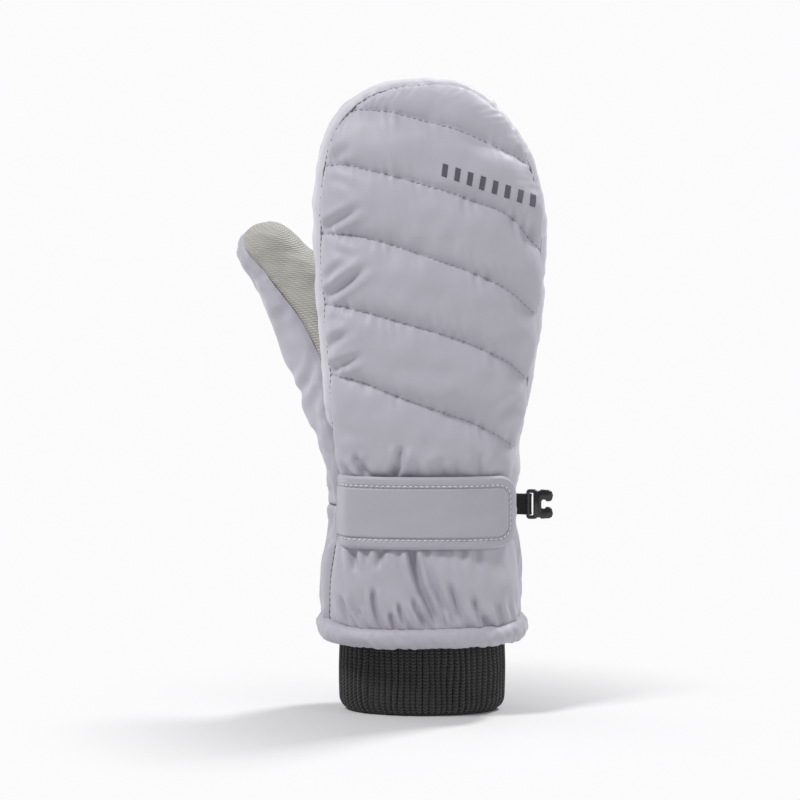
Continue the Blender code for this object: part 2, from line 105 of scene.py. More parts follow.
# --- numbers ---
def track(stations):
    """Smooth curve through (place, value, ...) stations, for arrays of places."""
    table = np.array(stations, float)
    x, y = table[:, 0], table[:, 1:]
    slope = np.gradient(y, x, axis=0)

    def at(places):
        p = np.clip(np.asarray(places, float), x[0], x[-1])
        i = np.clip(np.searchsorted(x, p, side="right") - 1, 0, len(x) - 2)
        h = (x[i + 1] - x[i])[..., None]
        s = ((p - x[i]) / (x[i + 1] - x[i]))[..., None]
        value = (2 * s**3 - 3 * s**2 + 1) * y[i] + (s**3 - 2 * s**2 + s) * h * slope[i]
        return value + (3 * s**2 - 2 * s**3) * y[i + 1] + (s**3 - s**2) * h * slope[i + 1]

    return at


def ease(low, high, x):
    t = np.clip((np.asarray(x, float) - low) / (high - low), 0, 1)
    return t * t * (3 - 2 * t)


def bump(x, middle, width):
    return np.exp(-(((np.asarray(x, float) - middle) / width) ** 2))


def fall(distance, reach):
    return np.exp(-distance / reach)


def between(first, second, share):
    return first + (second - first) * share


def field(coords, seed, count=28):
    """Smooth random field, about -1 to 1, that varies over distances of about 1 in coords."""
    rng = np.random.default_rng(seed)
    total = 0
    for _ in range(count):
        direction = rng.normal(size=len(coords))
        direction *= (0.55 + 0.9 * rng.random()) / np.linalg.norm(direction)
        phase = rng.random() * 2 * PI
        total = total + np.cos(2 * PI * sum(d * c for d, c in zip(direction, coords)) + phase)
    return total * math.sqrt(2 / count) * 0.6


def even(low, high, step):
    return np.linspace(low, high, max(2, int(round(abs(high - low) / step)) + 1))


def swells(u, v, *waves):
    """Sum of random fields, each (height, length along u, length along v, seed)."""
    return sum(height * field((u / long, v / wide), seed) for height, long, wide, seed in waves)


# --- the hand's surface ---
# Height, thumb-side edge, little-finger-side edge, depth of the back, depth of the palm
HAND = track(
    (
        (38, -46.5, 46.5, 29.5, 28.5),
        (52, -46.3, 46.8, 28.5, 28),
        (65, -45.6, 46.3, 27, 26.5),
        (78, -43.8, 45, 25, 24),
        (90, -42, 43.3, 23.5, 21.8),
        (100, -41.5, 42.6, 23.2, 21),
        (112, -42.3, 43.2, 23.5, 21),
        (125, -43.8, 45.3, 24, 21.2),
        (142, -45.8, 49, 24.8, 21.2),
        (160, -47, 52.2, 25.3, 20.8),
        (180, -48.6, 55.4, 25.4, 20.4),
        (205, -50.5, 57.6, 25, 20),
        (225, -51.3, 58.2, 24.2, 19.5),
        (245, -51.3, 58.2, 23.4, 19),
    )
)
PALM_SHARE = track(((90, 0.93), (120, 0.915), (150, 0.89), (200, 0.85), (300, 0.85)))


def section(psi):
    """Share of the half-width and of the depth at a turn from back (0) to palm (pi)."""
    s, c = np.sin(psi), np.cos(psi)
    k = (np.abs(s) ** SECTION_POWER + np.abs(c) ** SECTION_POWER) ** (-1 / SECTION_POWER)
    return k * s, k * c


TURNS = np.linspace(0, PI / 2, 2001)
TURN_SHARES = section(TURNS)[0]


def psi_at(share, palm=False):
    psi = np.interp(share, TURN_SHARES, TURNS)
    return PI - psi if palm else psi


def hand_surface(height, angle, psi, inset=0):
    """Points for rows (height, angle round the tip) and columns psi, which broadcast together."""
    shape = HAND(height)
    left, right, back, palm = (shape[..., n] for n in range(4))
    spine, half = (left + right) / 2, (right - left) / 2 - inset
    tall = DOME_HEIGHT - inset
    power = between(*DOME_POWERS, ease(PI / 3, PI * 2 / 3, angle))
    c, s = np.cos(angle), np.sin(angle)
    reach = (np.abs(c / half) ** power + np.abs(s / tall) ** power) ** (-1 / power)
    out, deep = section(psi)
    up = reach * s * out
    slim = 1 - 0.16 * (up / DOME_HEIGHT) ** 2
    y = -np.where(deep > 0, back - inset, palm - inset) * deep * slim
    return stack(spine + reach * c * out, y, height + up)


def u_rows(low, step, low_left=None):
    """Rows up the little-finger side, over the tip and down the thumb side: height, angle."""
    up, down = even(low, DOME_BASE, step), even(DOME_BASE, low_left or low, step)
    over = np.linspace(0, PI, int(DOME_ARC / step))[1:-1]
    height = np.concatenate([up, np.full(len(over), DOME_BASE), down])
    angle = np.concatenate([np.zeros(len(up)), over, np.full(len(down), PI)])
    return height[:, None], angle[:, None]


def back_seam(angle):
    """The turn at which the back panel ends."""
    return psi_at(between(BACK_SHARE_FINGER, BACK_SHARE_THUMB, ease(PI * 0.3, PI * 0.7, angle)))


def palm_seam(height, angle):
    """The turn at which the palm panel ends."""
    return psi_at(PALM_SHARE(height + DOME_HEIGHT * np.sin(angle))[..., 0], palm=True)


# --- grids ---
def stack(*columns):
    return np.stack(np.broadcast_arrays(*columns), axis=-1)


def unit(vectors):
    return vectors / np.maximum(np.linalg.norm(vectors, axis=-1, keepdims=True), 1e-9)


def grid_normals(points, outward):
    """Unit normals of a grid of points, on the side that outward points to."""
    n = unit(np.cross(np.gradient(points, axis=0), np.gradient(points, axis=1)))
    return n * (1 if np.nansum(n * outward) > 0 else -1)


def calm_pole(n, height, straight, cols=7):
    """The dome's rows all meet at one point, so normals near it are blended to a plain one."""
    near = ease(cols, 0, np.arange(n.shape[1]))[None, :] * ease(9, 0, DOME_BASE - height)
    return unit(between(n, np.array(straight), near[..., None]))


def from_axis(points):
    """Rough outward direction of the hand's surface."""
    return points - stack(SPINE_X, 0, np.minimum(points[..., 2], DOME_BASE))


def along(points, axis):
    """Distance along the rows or columns from their first edge."""
    step = np.linalg.norm(np.diff(points, axis=axis), axis=-1)
    zero = np.zeros_like(np.take(step, [0], axis=axis))
    return np.concatenate([zero, np.cumsum(step, axis=axis)], axis=axis)


def edge_distance(points):
    """Distances across each row, from its first point and from its last."""
    run = along(points, 1)
    return run, run[:, -1:] - run


def panel(base, outward):
    """A panel's normals, distances from its first side and its nearer one, and along it."""
    near, far = edge_distance(base)
    return grid_normals(base, outward), near, np.minimum(near, far), along(base, 0)


def seam_roll(distance, deep, radius):
    """A panel dips where it is turned in to a seam."""
    return -deep * bump(distance, 0, radius)


def world(points):
    return (points + np.array([0, AXIS_Y, 0])) * MM


def placed(name, data):
    obj = bpy.data.objects.new(name, data)
    bpy.context.scene.collection.objects.link(obj)
    return obj


def mesh_object(name, points, faces, material, uv=None):
    mesh = bpy.data.meshes.new(name)
    mesh.from_pydata(world(np.array(points)).tolist(), [], faces)
    if uv is not None:
        layer = mesh.uv_layers.new(name="cloth")
        loops = np.array([loop.vertex_index for loop in mesh.loops])
        layer.data.foreach_set("uv", (np.array(uv) * MM)[loops].astype(np.float32).ravel())
    mesh.polygons.foreach_set("use_smooth", [True] * len(mesh.polygons))
    mesh.materials.append(material)
    return placed(name, mesh)


def grid_faces(rows, cols, wrap_rows=False, wrap_cols=False, flip=False, start=0):
    index = np.arange(rows * cols).reshape(rows, cols) + start
    if wrap_rows:
        index = np.vstack([index, index[:1]])
    if wrap_cols:
        index = np.hstack([index, index[:, :1]])
    a, b = index[:-1, :-1].ravel(), index[:-1, 1:].ravel()
    c, d = index[1:, 1:].ravel(), index[1:, :-1].ravel()
    quads = np.stack([a, d, c, b] if flip else [a, b, c, d], axis=1)
    return quads.tolist()


def wear(obj, body, slot=None, *parts):
    """Ties a piece to its body and the CAD nodes that it stands for. Its material slot is not used.
    """
    if body:
        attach(obj, body)
    if parts:
        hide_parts(*parts)
    return obj


def sheet(name, points, material, uv=None, outward=None, thickness=CLOTH, **wraps):
    """A grid of points as cloth, with its thickness on the side away from outward."""
    rows, cols = points.shape[:2]
    if outward is None:
        outward = from_axis(points)
    raw = np.cross(np.gradient(points, axis=0), np.gradient(points, axis=1))
    flip = bool(np.nansum(raw * outward) > 0)
    if uv is None:
        uv = stack(along(points, 1), along(points, 0))
    faces = grid_faces(rows, cols, flip=flip, **wraps)
    obj = mesh_object(name, points.reshape(-1, 3), faces, material, uv.reshape(-1, 2))
    obj.modifiers.new("weld", "WELD").merge_threshold = WELD * MM
    return thicken(obj, thickness)


def thicken(obj, thickness):
    """Applies a piece's modifiers, and gives it a thickness on the side away from its normals."""
    if thickness:
        solid = obj.modifiers.new("cloth", "SOLIDIFY")
        solid.thickness = thickness * MM
        solid.offset = -1
    bpy.context.view_layer.update()
    graph = bpy.context.evaluated_depsgraph_get()
    mesh = bpy.data.meshes.new_from_object(obj.evaluated_get(graph))
    old = obj.data
    obj.modifiers.clear()
    obj.data = mesh
    bpy.data.meshes.remove(old)
    mesh.name = obj.name
    return obj


def face_out(obj):
    """Turns the faces of every closed shell outwards."""
    work = bmesh.new()
    work.from_mesh(obj.data)
    bmesh.ops.recalc_face_normals(work, faces=work.faces)
    work.to_mesh(obj.data)
    work.free()
    return obj


def tree_of(obj):
    mesh = obj.data
    verts = [v.co.copy() for v in mesh.vertices]
    return BVHTree.FromPolygons(verts, [tuple(p.vertices) for p in mesh.polygons])


def drop_on(tree, x, z):
    """Point and outward normal where a line from the palm side meets a surface."""
    start = Vector((x * MM, (AXIS_Y + OUTSIDE) * MM, z * MM))
    hit, normal, _, _ = tree.ray_cast(start, Vector((0, -1, 0)))
    if hit is None:
        return None
    normal = np.array(normal)
    point = np.array(hit) / MM - np.array([0, AXIS_Y, 0])
    return point, normal if normal[1] > 0 else -normal


class Pattern:
    """Finds where a place on the back's smooth pattern ends up on its puffed cloth."""

    def __init__(self, base, points):
        normals = grid_normals(points, from_axis(points))
        self.seam = points[:, -2], normals[:, -2]
        self.faces = grid_faces(*base.shape[:2])
        grids = (base, points, normals)
        self.base, self.points, self.normals = (grid.reshape(-1, 3) for grid in grids)
        self.tree = BVHTree.FromPolygons(self.base.tolist(), self.faces)

    def at(self, x, z):
        """Point and normal on the cloth, or None beyond the pattern."""
        hit, _, face, _ = self.tree.ray_cast(Vector((x, -OUTSIDE, z)), Vector((0, 1, 0)))
        if hit is None:
            return None
        corners = self.faces[face]
        weights = np.array(poly_3d_calc([Vector(self.base[c]) for c in corners], hit))
        return weights @ self.points[corners], weights @ self.normals[corners]


# --- materials ---
class Nodes:
    """Short calls for building a node material. Colours are linear RGB."""

    def __init__(self, name):
        self.material = bpy.data.materials.new(name)
        self.material.use_nodes = True
        self.tree = self.material.node_tree
        self.shader = self.tree.nodes["Principled BSDF"]

    def add(self, kind, inputs=None, **settings):
        node = self.tree.nodes.new(kind)
        for key, value in settings.items():
            setattr(node, key, value)
        for key, value in (inputs or {}).items():
            self.put(node.inputs[key], value)
        return node

    def put(self, socket, value):
        if isinstance(value, bpy.types.NodeSocket):
            self.tree.links.new(value, socket)
        else:
            socket.default_value = (*value, 1) if isinstance(value, tuple) else value

    def set(self, **inputs):
        for key, value in inputs.items():
            self.put(self.shader.inputs[key.replace("_", " ")], value)

    def math(self, operation, *values):
        return self.add("ShaderNodeMath", dict(enumerate(values)), operation=operation).outputs[0]

    def times(self, a, b, plus=0):
        return self.math("MULTIPLY_ADD", a, b, plus)

    def mix(self, factor, a, b):
        inputs = {"Factor": factor, "A": a, "B": b}
        return self.add("ShaderNodeMix", inputs, data_type="RGBA").outputs["Result"]

    def place(self):
        return self.add("ShaderNodeTexCoord").outputs["Object"]

    def cloth_uv(self):
        node = self.add("ShaderNodeUVMap", uv_map="cloth")
        return self.add("ShaderNodeSeparateXYZ", {0: node.outputs[0]}).outputs[:2]

    def noise(self, scale, detail, rough=0.5):
        inputs = {"Vector": self.place(), "Scale": scale, "Detail": detail, "Roughness": rough}
        return self.add("ShaderNodeTexNoise", inputs).outputs["Fac"]

    def wave(self, coordinate, pitch):
        """0 to 1 wave along a coordinate in metres. pitch is in millimetres."""
        turns = self.times(coordinate, 2 * PI / (pitch * MM))
        return self.times(self.math("SINE", turns), 0.5, 0.5)

    def bumps(self, *layers):
        """Chains (height, distance in mm, strength) layers into a normal."""
        normal = None
        for height, distance, strength in layers:
            inputs = {"Height": height, "Distance": distance * MM, "Strength": strength}
            if normal is not None:
                inputs["Normal"] = normal
            normal = self.add("ShaderNodeBump", inputs).outputs[0]
        self.set(Normal=normal)


def shell_fabric(name, colour, roughness=0.52):
    """Downproof polyester: a very fine plain weave with a soft sheen."""
    n = Nodes(name)
    u, v = n.cloth_uv()
    weave = n.times(n.wave(u, 0.42), n.wave(v, 0.42))
    soft, fine = n.noise(38, 3), n.noise(420, 4, 0.6)
    n.set(
        Base_Color=n.mix(n.times(soft, 0.14, n.times(weave, 0.05, 0.9)), (0, 0, 0), colour),
        Roughness=n.times(fine, 0.14, roughness - 0.07),
        Sheen_Weight=0.25,
        Sheen_Roughness=0.45,
        Sheen_Tint=(0.93, 0.92, 1),
        Specular_IOR_Level=0.42,
    )
    n.bumps((soft, 1.4, 0.3), (fine, 0.25, 0.22), (weave, 0.06, 0.3))
    return n.material


def grip_fabric():
    """Grip cloth: raised dots on a fine diagonal grid."""
    n = Nodes("grip_fabric")
    u, v = n.cloth_uv()
    other = n.times(n.wave(n.math("SUBTRACT", u, v), 1.7), 0.65, 0.35)
    dots = n.times(n.wave(n.math("ADD", u, v), 1.9), other)
    fine, soft = n.noise(500, 3, 0.6), n.noise(30, 3)
    shade = n.times(dots, 0.6, n.times(soft, 0.12, 0.5))
    n.set(
        Base_Color=n.mix(shade, (0.075, 0.073, 0.064), (0.465, 0.455, 0.412)),
        Roughness=n.times(dots, -0.12, 0.72),
        Sheen_Weight=0.12,
    )
    n.bumps((soft, 1.2, 0.25), (dots, 0.4, 0.6), (fine, 0.12, 0.3))
    return n.material


def knit_fabric():
    """Rib knit: each rib is a column of V stitches, with painted shade in the gaps between ribs."""
    n = Nodes("rib_knit")
    u, v = n.cloth_uv()
    ribs = n.math("DIVIDE", u, RIB_PITCH * MM)
    place = n.math("ABSOLUTE", n.math("SUBTRACT", n.math("FRACT", ribs), 0.5))
    stitch = n.wave(n.times(place, 1.5 * MM, v), 1.6)
    yarn, fuzz = n.noise(900, 4, 0.7), n.noise(260, 3, 0.6)
    # crest is 1 on each rib's crest and falls to 0 at the gaps between ribs, where it darkens the
    # colour as painted shade
    crest = n.math("SUBTRACT", 1, n.math("POWER", n.times(place, 2), 3.5))
    shade = n.times(n.times(stitch, 0.65, n.times(yarn, 0.5)), n.times(crest, 0.88, 0.12))
    n.set(
        Base_Color=n.mix(shade, (0.0025, 0.0025, 0.0028), (0.034, 0.034, 0.0365)),
        Roughness=0.92,
        Sheen_Weight=0.12,
        Sheen_Roughness=0.6,
    )
    n.bumps((fuzz, 0.4, 0.35), (stitch, 0.55, 0.8), (yarn, 0.2, 0.5))
    return n.material


def webbing_fabric():
    n = Nodes("webbing")
    u, v = n.cloth_uv()
    weave = n.times(n.wave(u, 1.1), n.wave(v, 0.9))
    base = n.mix(weave, (0.004, 0.004, 0.004), (0.022, 0.022, 0.023))
    n.set(Base_Color=base, Roughness=0.7, Sheen_Weight=0.15)
    n.bumps((weave, 0.3, 0.7))
    return n.material


def plain(name, colour, roughness, grit, scale, sheen=0, coat=0):
    """A grainy finish. grit is the height of its grain, in millimetres."""
    n = Nodes(name)
    grain = n.noise(scale, 4, 0.65)
    n.set(
        Base_Color=n.mix(n.times(grain, 0.5, 0.7), tuple(c * 0.35 for c in colour), colour),
        Roughness=n.times(grain, 0.15, roughness - 0.07),
        Sheen_Weight=sheen,
        Coat_Weight=coat,
    )
    n.bumps((grain, grit, 0.35))
    return n.material


def thread_of(name, *colour):
    return plain(name, colour, 0.6, 0.1, 1500, 0.2)


RIB_COUNT = 66
RIB_PITCH = 3

shell = shell_fabric("shell_fabric", (0.415, 0.402, 0.452))
band_shell = shell_fabric("band_fabric", (0.56, 0.55, 0.60))
strap_cloth = shell_fabric("strap_fabric", (0.385, 0.375, 0.418), 0.55)
grip = grip_fabric()
knit = knit_fabric()
webbing = webbing_fabric()
quilt_thread = thread_of("thread", 0.33, 0.32, 0.36)
white_thread = thread_of("elastic_thread", 0.6, 0.59, 0.62)
seam_thread = thread_of("seam_thread", 0.13, 0.125, 0.15)
strap_thread = thread_of("strap_thread", 0.62, 0.61, 0.65)
black_thread = thread_of("black_thread", 0.02, 0.02, 0.02)
seam_cloth = plain("seam_cloth", (0.22, 0.215, 0.24), 0.8, 0.13, 400)
fleece = plain("fleece", (0.2, 0.2, 0.215), 0.95, 0.68, 420, 0.6)
clip_black = plain("clip_plastic", (0.012, 0.012, 0.013), 0.3, 0.08, 700, 0, 0.3)
hook_tape = plain("hook_and_loop", (0.3, 0.29, 0.33), 0.9, 0.58, 900, 0.5)
print_ink = plain("print_ink", (0.085, 0.08, 0.105), 0.45, 0.08, 900)


# --- back of the hand ---
# The five sewn quilting lines, as (across, height)
QUILT_LINES = (
    ((-34, 285.5), (-19, 285), (-0.5, 280.5), (22.5, 273.5), (36, 267.5), (46.5, 262), (56, 254)),
    ((-48, 258.5), (-37.5, 259), (-23.5, 256), (-0.5, 250), (22.5, 242.5), (43, 233.5), (58, 218)),
    ((-50, 227), (-35, 226), (-19, 223), (-0.5, 217), (22.5, 209), (39.5, 201), (57, 187)),
    ((-50, 194.5), (-33, 191.5), (-12, 186), (11, 179.5), (31.5, 171.5), (43, 165.5), (55, 154)),
    ((-49, 162), (-28, 157), (-12, 151), (11, 143), (28, 136.5), (40.5, 129.5), (50, 122)),
)
LINES = [track(line) for line in QUILT_LINES]
# Creases: from (x, z) to (x, z), width, depth (positive is a valley), sideways bow
BACK_CREASES = (
    (-46, 197, -26, 211, 2, 1.9, 0.3),
    (-44, 206, -35, 214, 1.8, 1, -0.3),
    (-44, 163, -29, 170, 1.8, 1.6, 0.3),
    (-46, 171, -33, 182, 2, 1.3, -0.4),
    (-47, 229, -29, 239, 1.9, 1.5, 0.3),
    (-44, 187, -32, 184, 2.2, 0.7, -0.8),
    (-43, 221, -30, 216, 2.2, 0.6, 1),
    (-43, 261, -34, 267, 2, 1, 0.2),
    (-43, 252, -31, 247, 2.2, 0.5, -1),
    (-31, 123, -26, 113, 1.7, 2, 0.5),
    (-10, 127, -13, 113, 1.8, 2.2, -0.7),
    (8, 122, 5, 114, 2.2, 0.8, 0.4),
    (26, 124, 27, 114, 2.2, 0.9, 0.6),
    (-33, 80, -31, 70, 1.7, 2, 0.3),
    (-20, 80, -21, 71, 1.7, 2, -0.3),
    (-6, 81, 9, 43, 1.8, 3.9, 1.9),
    (3, 70, 16, 43, 2, 1.8, 1.5),
    (13, 63, 22, 42, 1.5, 2.1, 0.9),
    (24, 57, 31, 42, 1.3, 1.7, 0.6),
    (-4, 56, 4, 42, 1.2, 2.2, 0.6),
    (-23, 60, -19, 42, 1.2, 2.6, 0.7),
    (-38, 56, -31, 42, 1.2, 1.9, 0.8),
    (-11, 54, -6, 42, 1.1, 2, 0.4),
    (35, 54, 39, 42, 1.3, 1.4, 0.3),
    (-40, 72, -34, 58, 4, 0.5, 1),
    (-30, 51, -26, 42, 1.1, 1.6, 0.3),
    (-15, 50, -12, 42, 1, 1.7, 0.3),
    (9, 50, 13, 42, 1.1, 1.6, 0.3),
    (29, 48, 34, 42, 1.1, 1.3, 0.3),
    (46, 150, 34, 141, 2.6, 0.8, 0.8),
    (-44, 140, -32, 131, 3, 0.9, 1),
    (-43, 129, -30, 124, 2.6, 0.8, 0.8),
)


def hem_dip(base):
    """How far the cloth turns in where it is sewn to the rolled hem."""
    top = 43.8 + base[..., 1] / 13
    return 1.5 * fall(np.maximum(base[..., 2] - top, 0), 1.4)


def line_distance(line, x, z):
    """Signed distance above a quilting line."""
    here, ahead = line(x - 0.5)[..., 0], line(x + 0.5)[..., 0]
    return (z - line(x)[..., 0]) / np.sqrt(1 + (ahead - here) ** 2)


def creases(x, z, table):
    total = np.zeros(np.broadcast(x, z).shape)
    for x0, z0, x1, z1, width, depth, bow in table:
        dx, dz = x1 - x0, z1 - z0
        length = math.hypot(dx, dz)
        t = ((x - x0) * dx + (z - z0) * dz) / length**2
        off = ((x - x0) * dz - (z - z0) * dx) / length - bow * np.sin(PI * np.clip(t, 0, 1))
        valley = bump(off, 0, width) - 0.55 * bump(np.abs(off), 2.1 * width, width)
        total -= depth * ease(-0.18, 0.18, t) * ease(1.25, 0.6, t) * valley
    return total


def puffs(x, z):
    """How far the wadding pushes the quilted cloth out, and the nearest line's distance."""
    nearest = np.min([np.abs(line_distance(line, x, z)) for line in LINES], axis=0)
    return 1 - (1 - np.clip(nearest / 16.5, 0, 1)) ** 3, nearest


def gathers(x, z):
    """Narrow gathers that radiate from the strap's edges and the hem."""
    strap = np.maximum(bump(z, STRAP_HIGH, 9), bump(z, STRAP_LOW, 10))
    total = 0.75 * strap * field(((x + 0.06 * z) / 6.5, z / 46), 5)
    return total + 0.6 * bump(z, HEM_LINE + 2, 11) * field((x / 3.6 + 0.06 * z, z / 30), 6)


def back_relief(x, z, edge):
    swell, nearest = puffs(x, z)
    relief = 4.4 * (between(swell, 0.55, ease(126, 112, z)) - 0.58)
    few = 0.25 + np.clip(0.7 + 1.2 * field((x / 26, z / 22), 8), 0, 1.4)
    pinch = few * fall(nearest, 4.6) * ease(108, 124, z)
    relief += 0.5 * pinch * field((x / 5 + 0.03 * z, z / 30), 3)
    relief -= 0.35 * bump(nearest, 0, 0.7) * ease(112, 118, z)
    under = ease(STRAP_LOW - 3, STRAP_LOW + 4, z) * ease(STRAP_HIGH + 3, STRAP_HIGH - 4, z)
    relief = between(relief, -0.2, under)
    relief += 1.5 * bump(z, 66, 11) + 0.9 * bump(z, 121, 6)
    relief += swells(x, z, (0.5, 34, 26, 1), (0.28, 13, 15, 2))
    relief += gathers(x, z) * (1 - under)
    relief += creases(x, z, BACK_CREASES) * (1 - 0.8 * under)
    return relief * (1 - 0.88 * fall(edge, 3.4))


def build_back():
    height, angle = u_rows(HEM_TOP, 0.85)
    base = hand_surface(height, angle, back_seam(angle) * np.linspace(0, 1, 74)[None, :])
    n = calm_pole(grid_normals(base, from_axis(base)), height, (0, -1, 0))
    x, z = base[..., 0], base[..., 2]
    _, edge = edge_distance(base)
    rim = seam_roll(edge, 1.5 - 0.8 * ease(94, 80, z), 1.9) - 0.3 * bump(edge, 2.4, 0.45)
    crest = np.sin(np.clip(angle, 0, PI)) ** 0.5 * fall(edge, 7)
    rim += 0.45 * crest * field((along(base, 0) / 4.2, edge / 12), 7)
    points = base + n * (back_relief(x, z, edge) - hem_dip(base) + rim)[..., None]
    points[..., 2] = np.maximum(points[..., 2], HEM_TOP - 1.5)
    back = sheet("quilted_back", points, shell, uv=stack(x, z))
    wear(back, "hand", "shell_fabric", "back_panel", "back_wadding")
    return Pattern(base, points)


back_pattern = build_back()


# --- palm side ---
WRIST_X, WRIST_HALF = 1, 46
THUMB_SIDE = -14  # run at which the gathers change from the thumb's to the palm's
# Lowest places that the gathers reach
THUMB_REACHES, PALM_REACHES = (88, 86, 84, 80), (84, 76, 40, 40)
HEEL_SEAM = track(((95, -9.3), (120, -9.6), (141, -12), (152, -18), (160, -22)))
PALM_CREASES = (
    (-8, 146, -9, 178, 2.4, 1.2, -2.2),
    (-2, 150, 0, 172, 3, 0.5, -1.5),
    (8, 128, 16, 112, 3, 0.8, 0.6),
    (26, 126, 30, 112, 3, 0.7, 0.4),
    (44, 176, 34, 150, 4, 0.5, 1),
    (20, 262, 40, 240, 4.5, 0.4, 1),
)


def pick_gathers(seed):
    """Gathers of the wrist elastic. Each is a valley with its own place, depth and leans."""
    rng = np.random.default_rng(seed)
    rows, place = [], -76
    while place < 76:
        thumb_side = place < THUMB_SIDE
        place += (4.6 if thumb_side else 6.4) + rng.uniform(-0.8, 1.3)
        rows.append(
            (
                place,
                rng.uniform(2.9, 3.9) * (0.7 if thumb_side else 1),  # depth at the elastic
                (0.04 if thumb_side else 0.36) + rng.uniform(-0.08, 0.12),  # lean below it
                rng.choice(THUMB_REACHES if thumb_side else PALM_REACHES),
                rng.uniform(-0.25, 0.25) + (0.5 if thumb_side else 0.05),  # lean above it
                rng.uniform(116, 140),  # highest place that it reaches
                rng.uniform(0.9, 1.5),  # width
            )
        )
    return rows


GATHERS = pick_gathers(17)


def rounding(wide):
    """Distance round the wrist for each share of its half-width, which grows to the sides."""
    return wide + 0.38 * wide**5


def wrist_run(points):
    """Distance round the palm side of the wrist, from its middle, positive to the little finger."""
    x, y = points[..., 0], points[..., 1]
    wide = np.clip((x - WRIST_X) / WRIST_HALF, -1, 1)
    return WRIST_HALF * rounding(wide) + np.sign(x) * np.maximum(0, 8 - y) * 0.9


def run_to_x(run):
    table = np.linspace(-1, 1, 401)
    return float(WRIST_X + WRIST_HALF * np.interp(run / WRIST_HALF, rounding(table), table))


def elastic_gathers(points):
    """How far the wrist elastic's gathers push the cloth in and out."""
    z, run = points[..., 2], wrist_run(points)
    below, above = np.maximum(WRIST - 6 - z, 0), np.maximum(z - WRIST - 6, 0)
    total = 1.7 + 0.9 * bump(z, 96.8, 3.6) - 0.6 * (bump(z, 104.5, 3.6) + bump(z, 90, 3.4))
    for place, depth, lean, reach, lean_up, top, width in GATHERS:
        off = run - place - lean * (below - 4 * ease(0, 40, below)) + lean_up * above
        wide = width * (1 + below / 26 + above / 18)
        valley = np.exp(-(np.abs(off / (np.where(off > 0, 1.9, 0.8) * wide)) ** 1.15))
        fade = ease(reach - 8, max(82, reach + 6), z) * ease(top + 8, 106, z)
        rest = 0.05 if place < THUMB_SIDE else 0.25
        total -= depth * valley * between(rest, 1, fade) * ease(top + 14, top - 6, z)
        total += 0.45 * depth * fade * bump(off, -2.6 * wide, 2.2 * wide)
    # smooth under the sewn-down tape
    sewn = (points[..., 1] > 0) * ease(34, 38, points[..., 0]) * ease(9.5, 6.5, np.abs(z - CLIP_Z))
    return between(total, 0.2, sewn)


def palm_relief(base, edge):
    x, z = base[..., 0], base[..., 2]
    relief = swells(x, z, (0.7, 46, 60, 21), (0.25, 15, 22, 22))
    relief += elastic_gathers(base) * ease(148, 118, z) * (1 + 0.75 * ease(100, 109, z))
    relief -= 1.6 * bump(x, 8, 26) * bump(z, 215, 46)  # the hollow of the hand
    relief += creases(x, z, PALM_CREASES)
    relief *= 1 - 0.92 * fall(edge, 4)
    beside = x - HEEL_SEAM(z)[..., 0]
    relief -= 1.3 * bump(beside, 0, 1.8) * ease(150, 138, z)
    relief -= 2.2 * ease(0, -7, beside) * ease(175, 160, z)
    return relief - 2.4 * ease(0, -3.5, beside) * ease(150, 114, z)


def build_palm():
    height, angle = u_rows(WRIST, 0.9)
    psi = between(PI, palm_seam(height, angle), np.linspace(0, 1, 66)[None, :])
    base = hand_surface(height, angle, psi)
    n = calm_pole(grid_normals(base, from_axis(base)), height, (0, 1, 0))
    _, edge = edge_distance(base)
    relief = palm_relief(base, edge) + seam_roll(edge, 1.5, 2)
    relief += seam_roll(base[..., 2] - WRIST, 0.7, 1.3)
    palm = sheet("palm_grip", base + n * relief[..., None], grip, uv=base[..., ::2])
    wear(palm, "hand", "grip_fabric", "palm_grip_panel", "palm_wadding")
    return tree_of(palm)


def build_band():
    """The band between back and palm, seamed to both, and joined at the fingertip."""
    height, angle = u_rows(WRIST, 0.9, 112)
    share = np.linspace(0, 1, 40)[None, :]
    base = hand_surface(height, angle, between(back_seam(angle), palm_seam(height, angle), share))
    n, near, edge, run = panel(base, from_axis(base))
    z = base[..., 2]
    relief = swells(run, near, (0.35, 24, 20, 31), (0.22, 8, 14, 32))
    relief += fall(edge, 3.5) * swells(run, near, (0.28, 4.6, 11, 33))
    relief += elastic_gathers(base) * ease(146, 112, z) * (1 - 0.92 * fall(edge, 4))
    relief -= 0.4 * bump(base[..., 0], -1.75, 0.9) * (z > 260)  # the seam at the tip
    relief += seam_roll(edge, 1.5, 1.9) + 0.55 * bump(edge, 5.5, 3.5)
    relief += seam_roll(z - WRIST, 0.7, 1.3)
    relief -= 3.2 * ease(150, 126, z) * (angle > PI / 2)
    band = sheet("side_band", base + n * relief[..., None], band_shell)
    wear(band, "hand", "shell_fabric", "side_band_thumb", "side_band_little_finger")


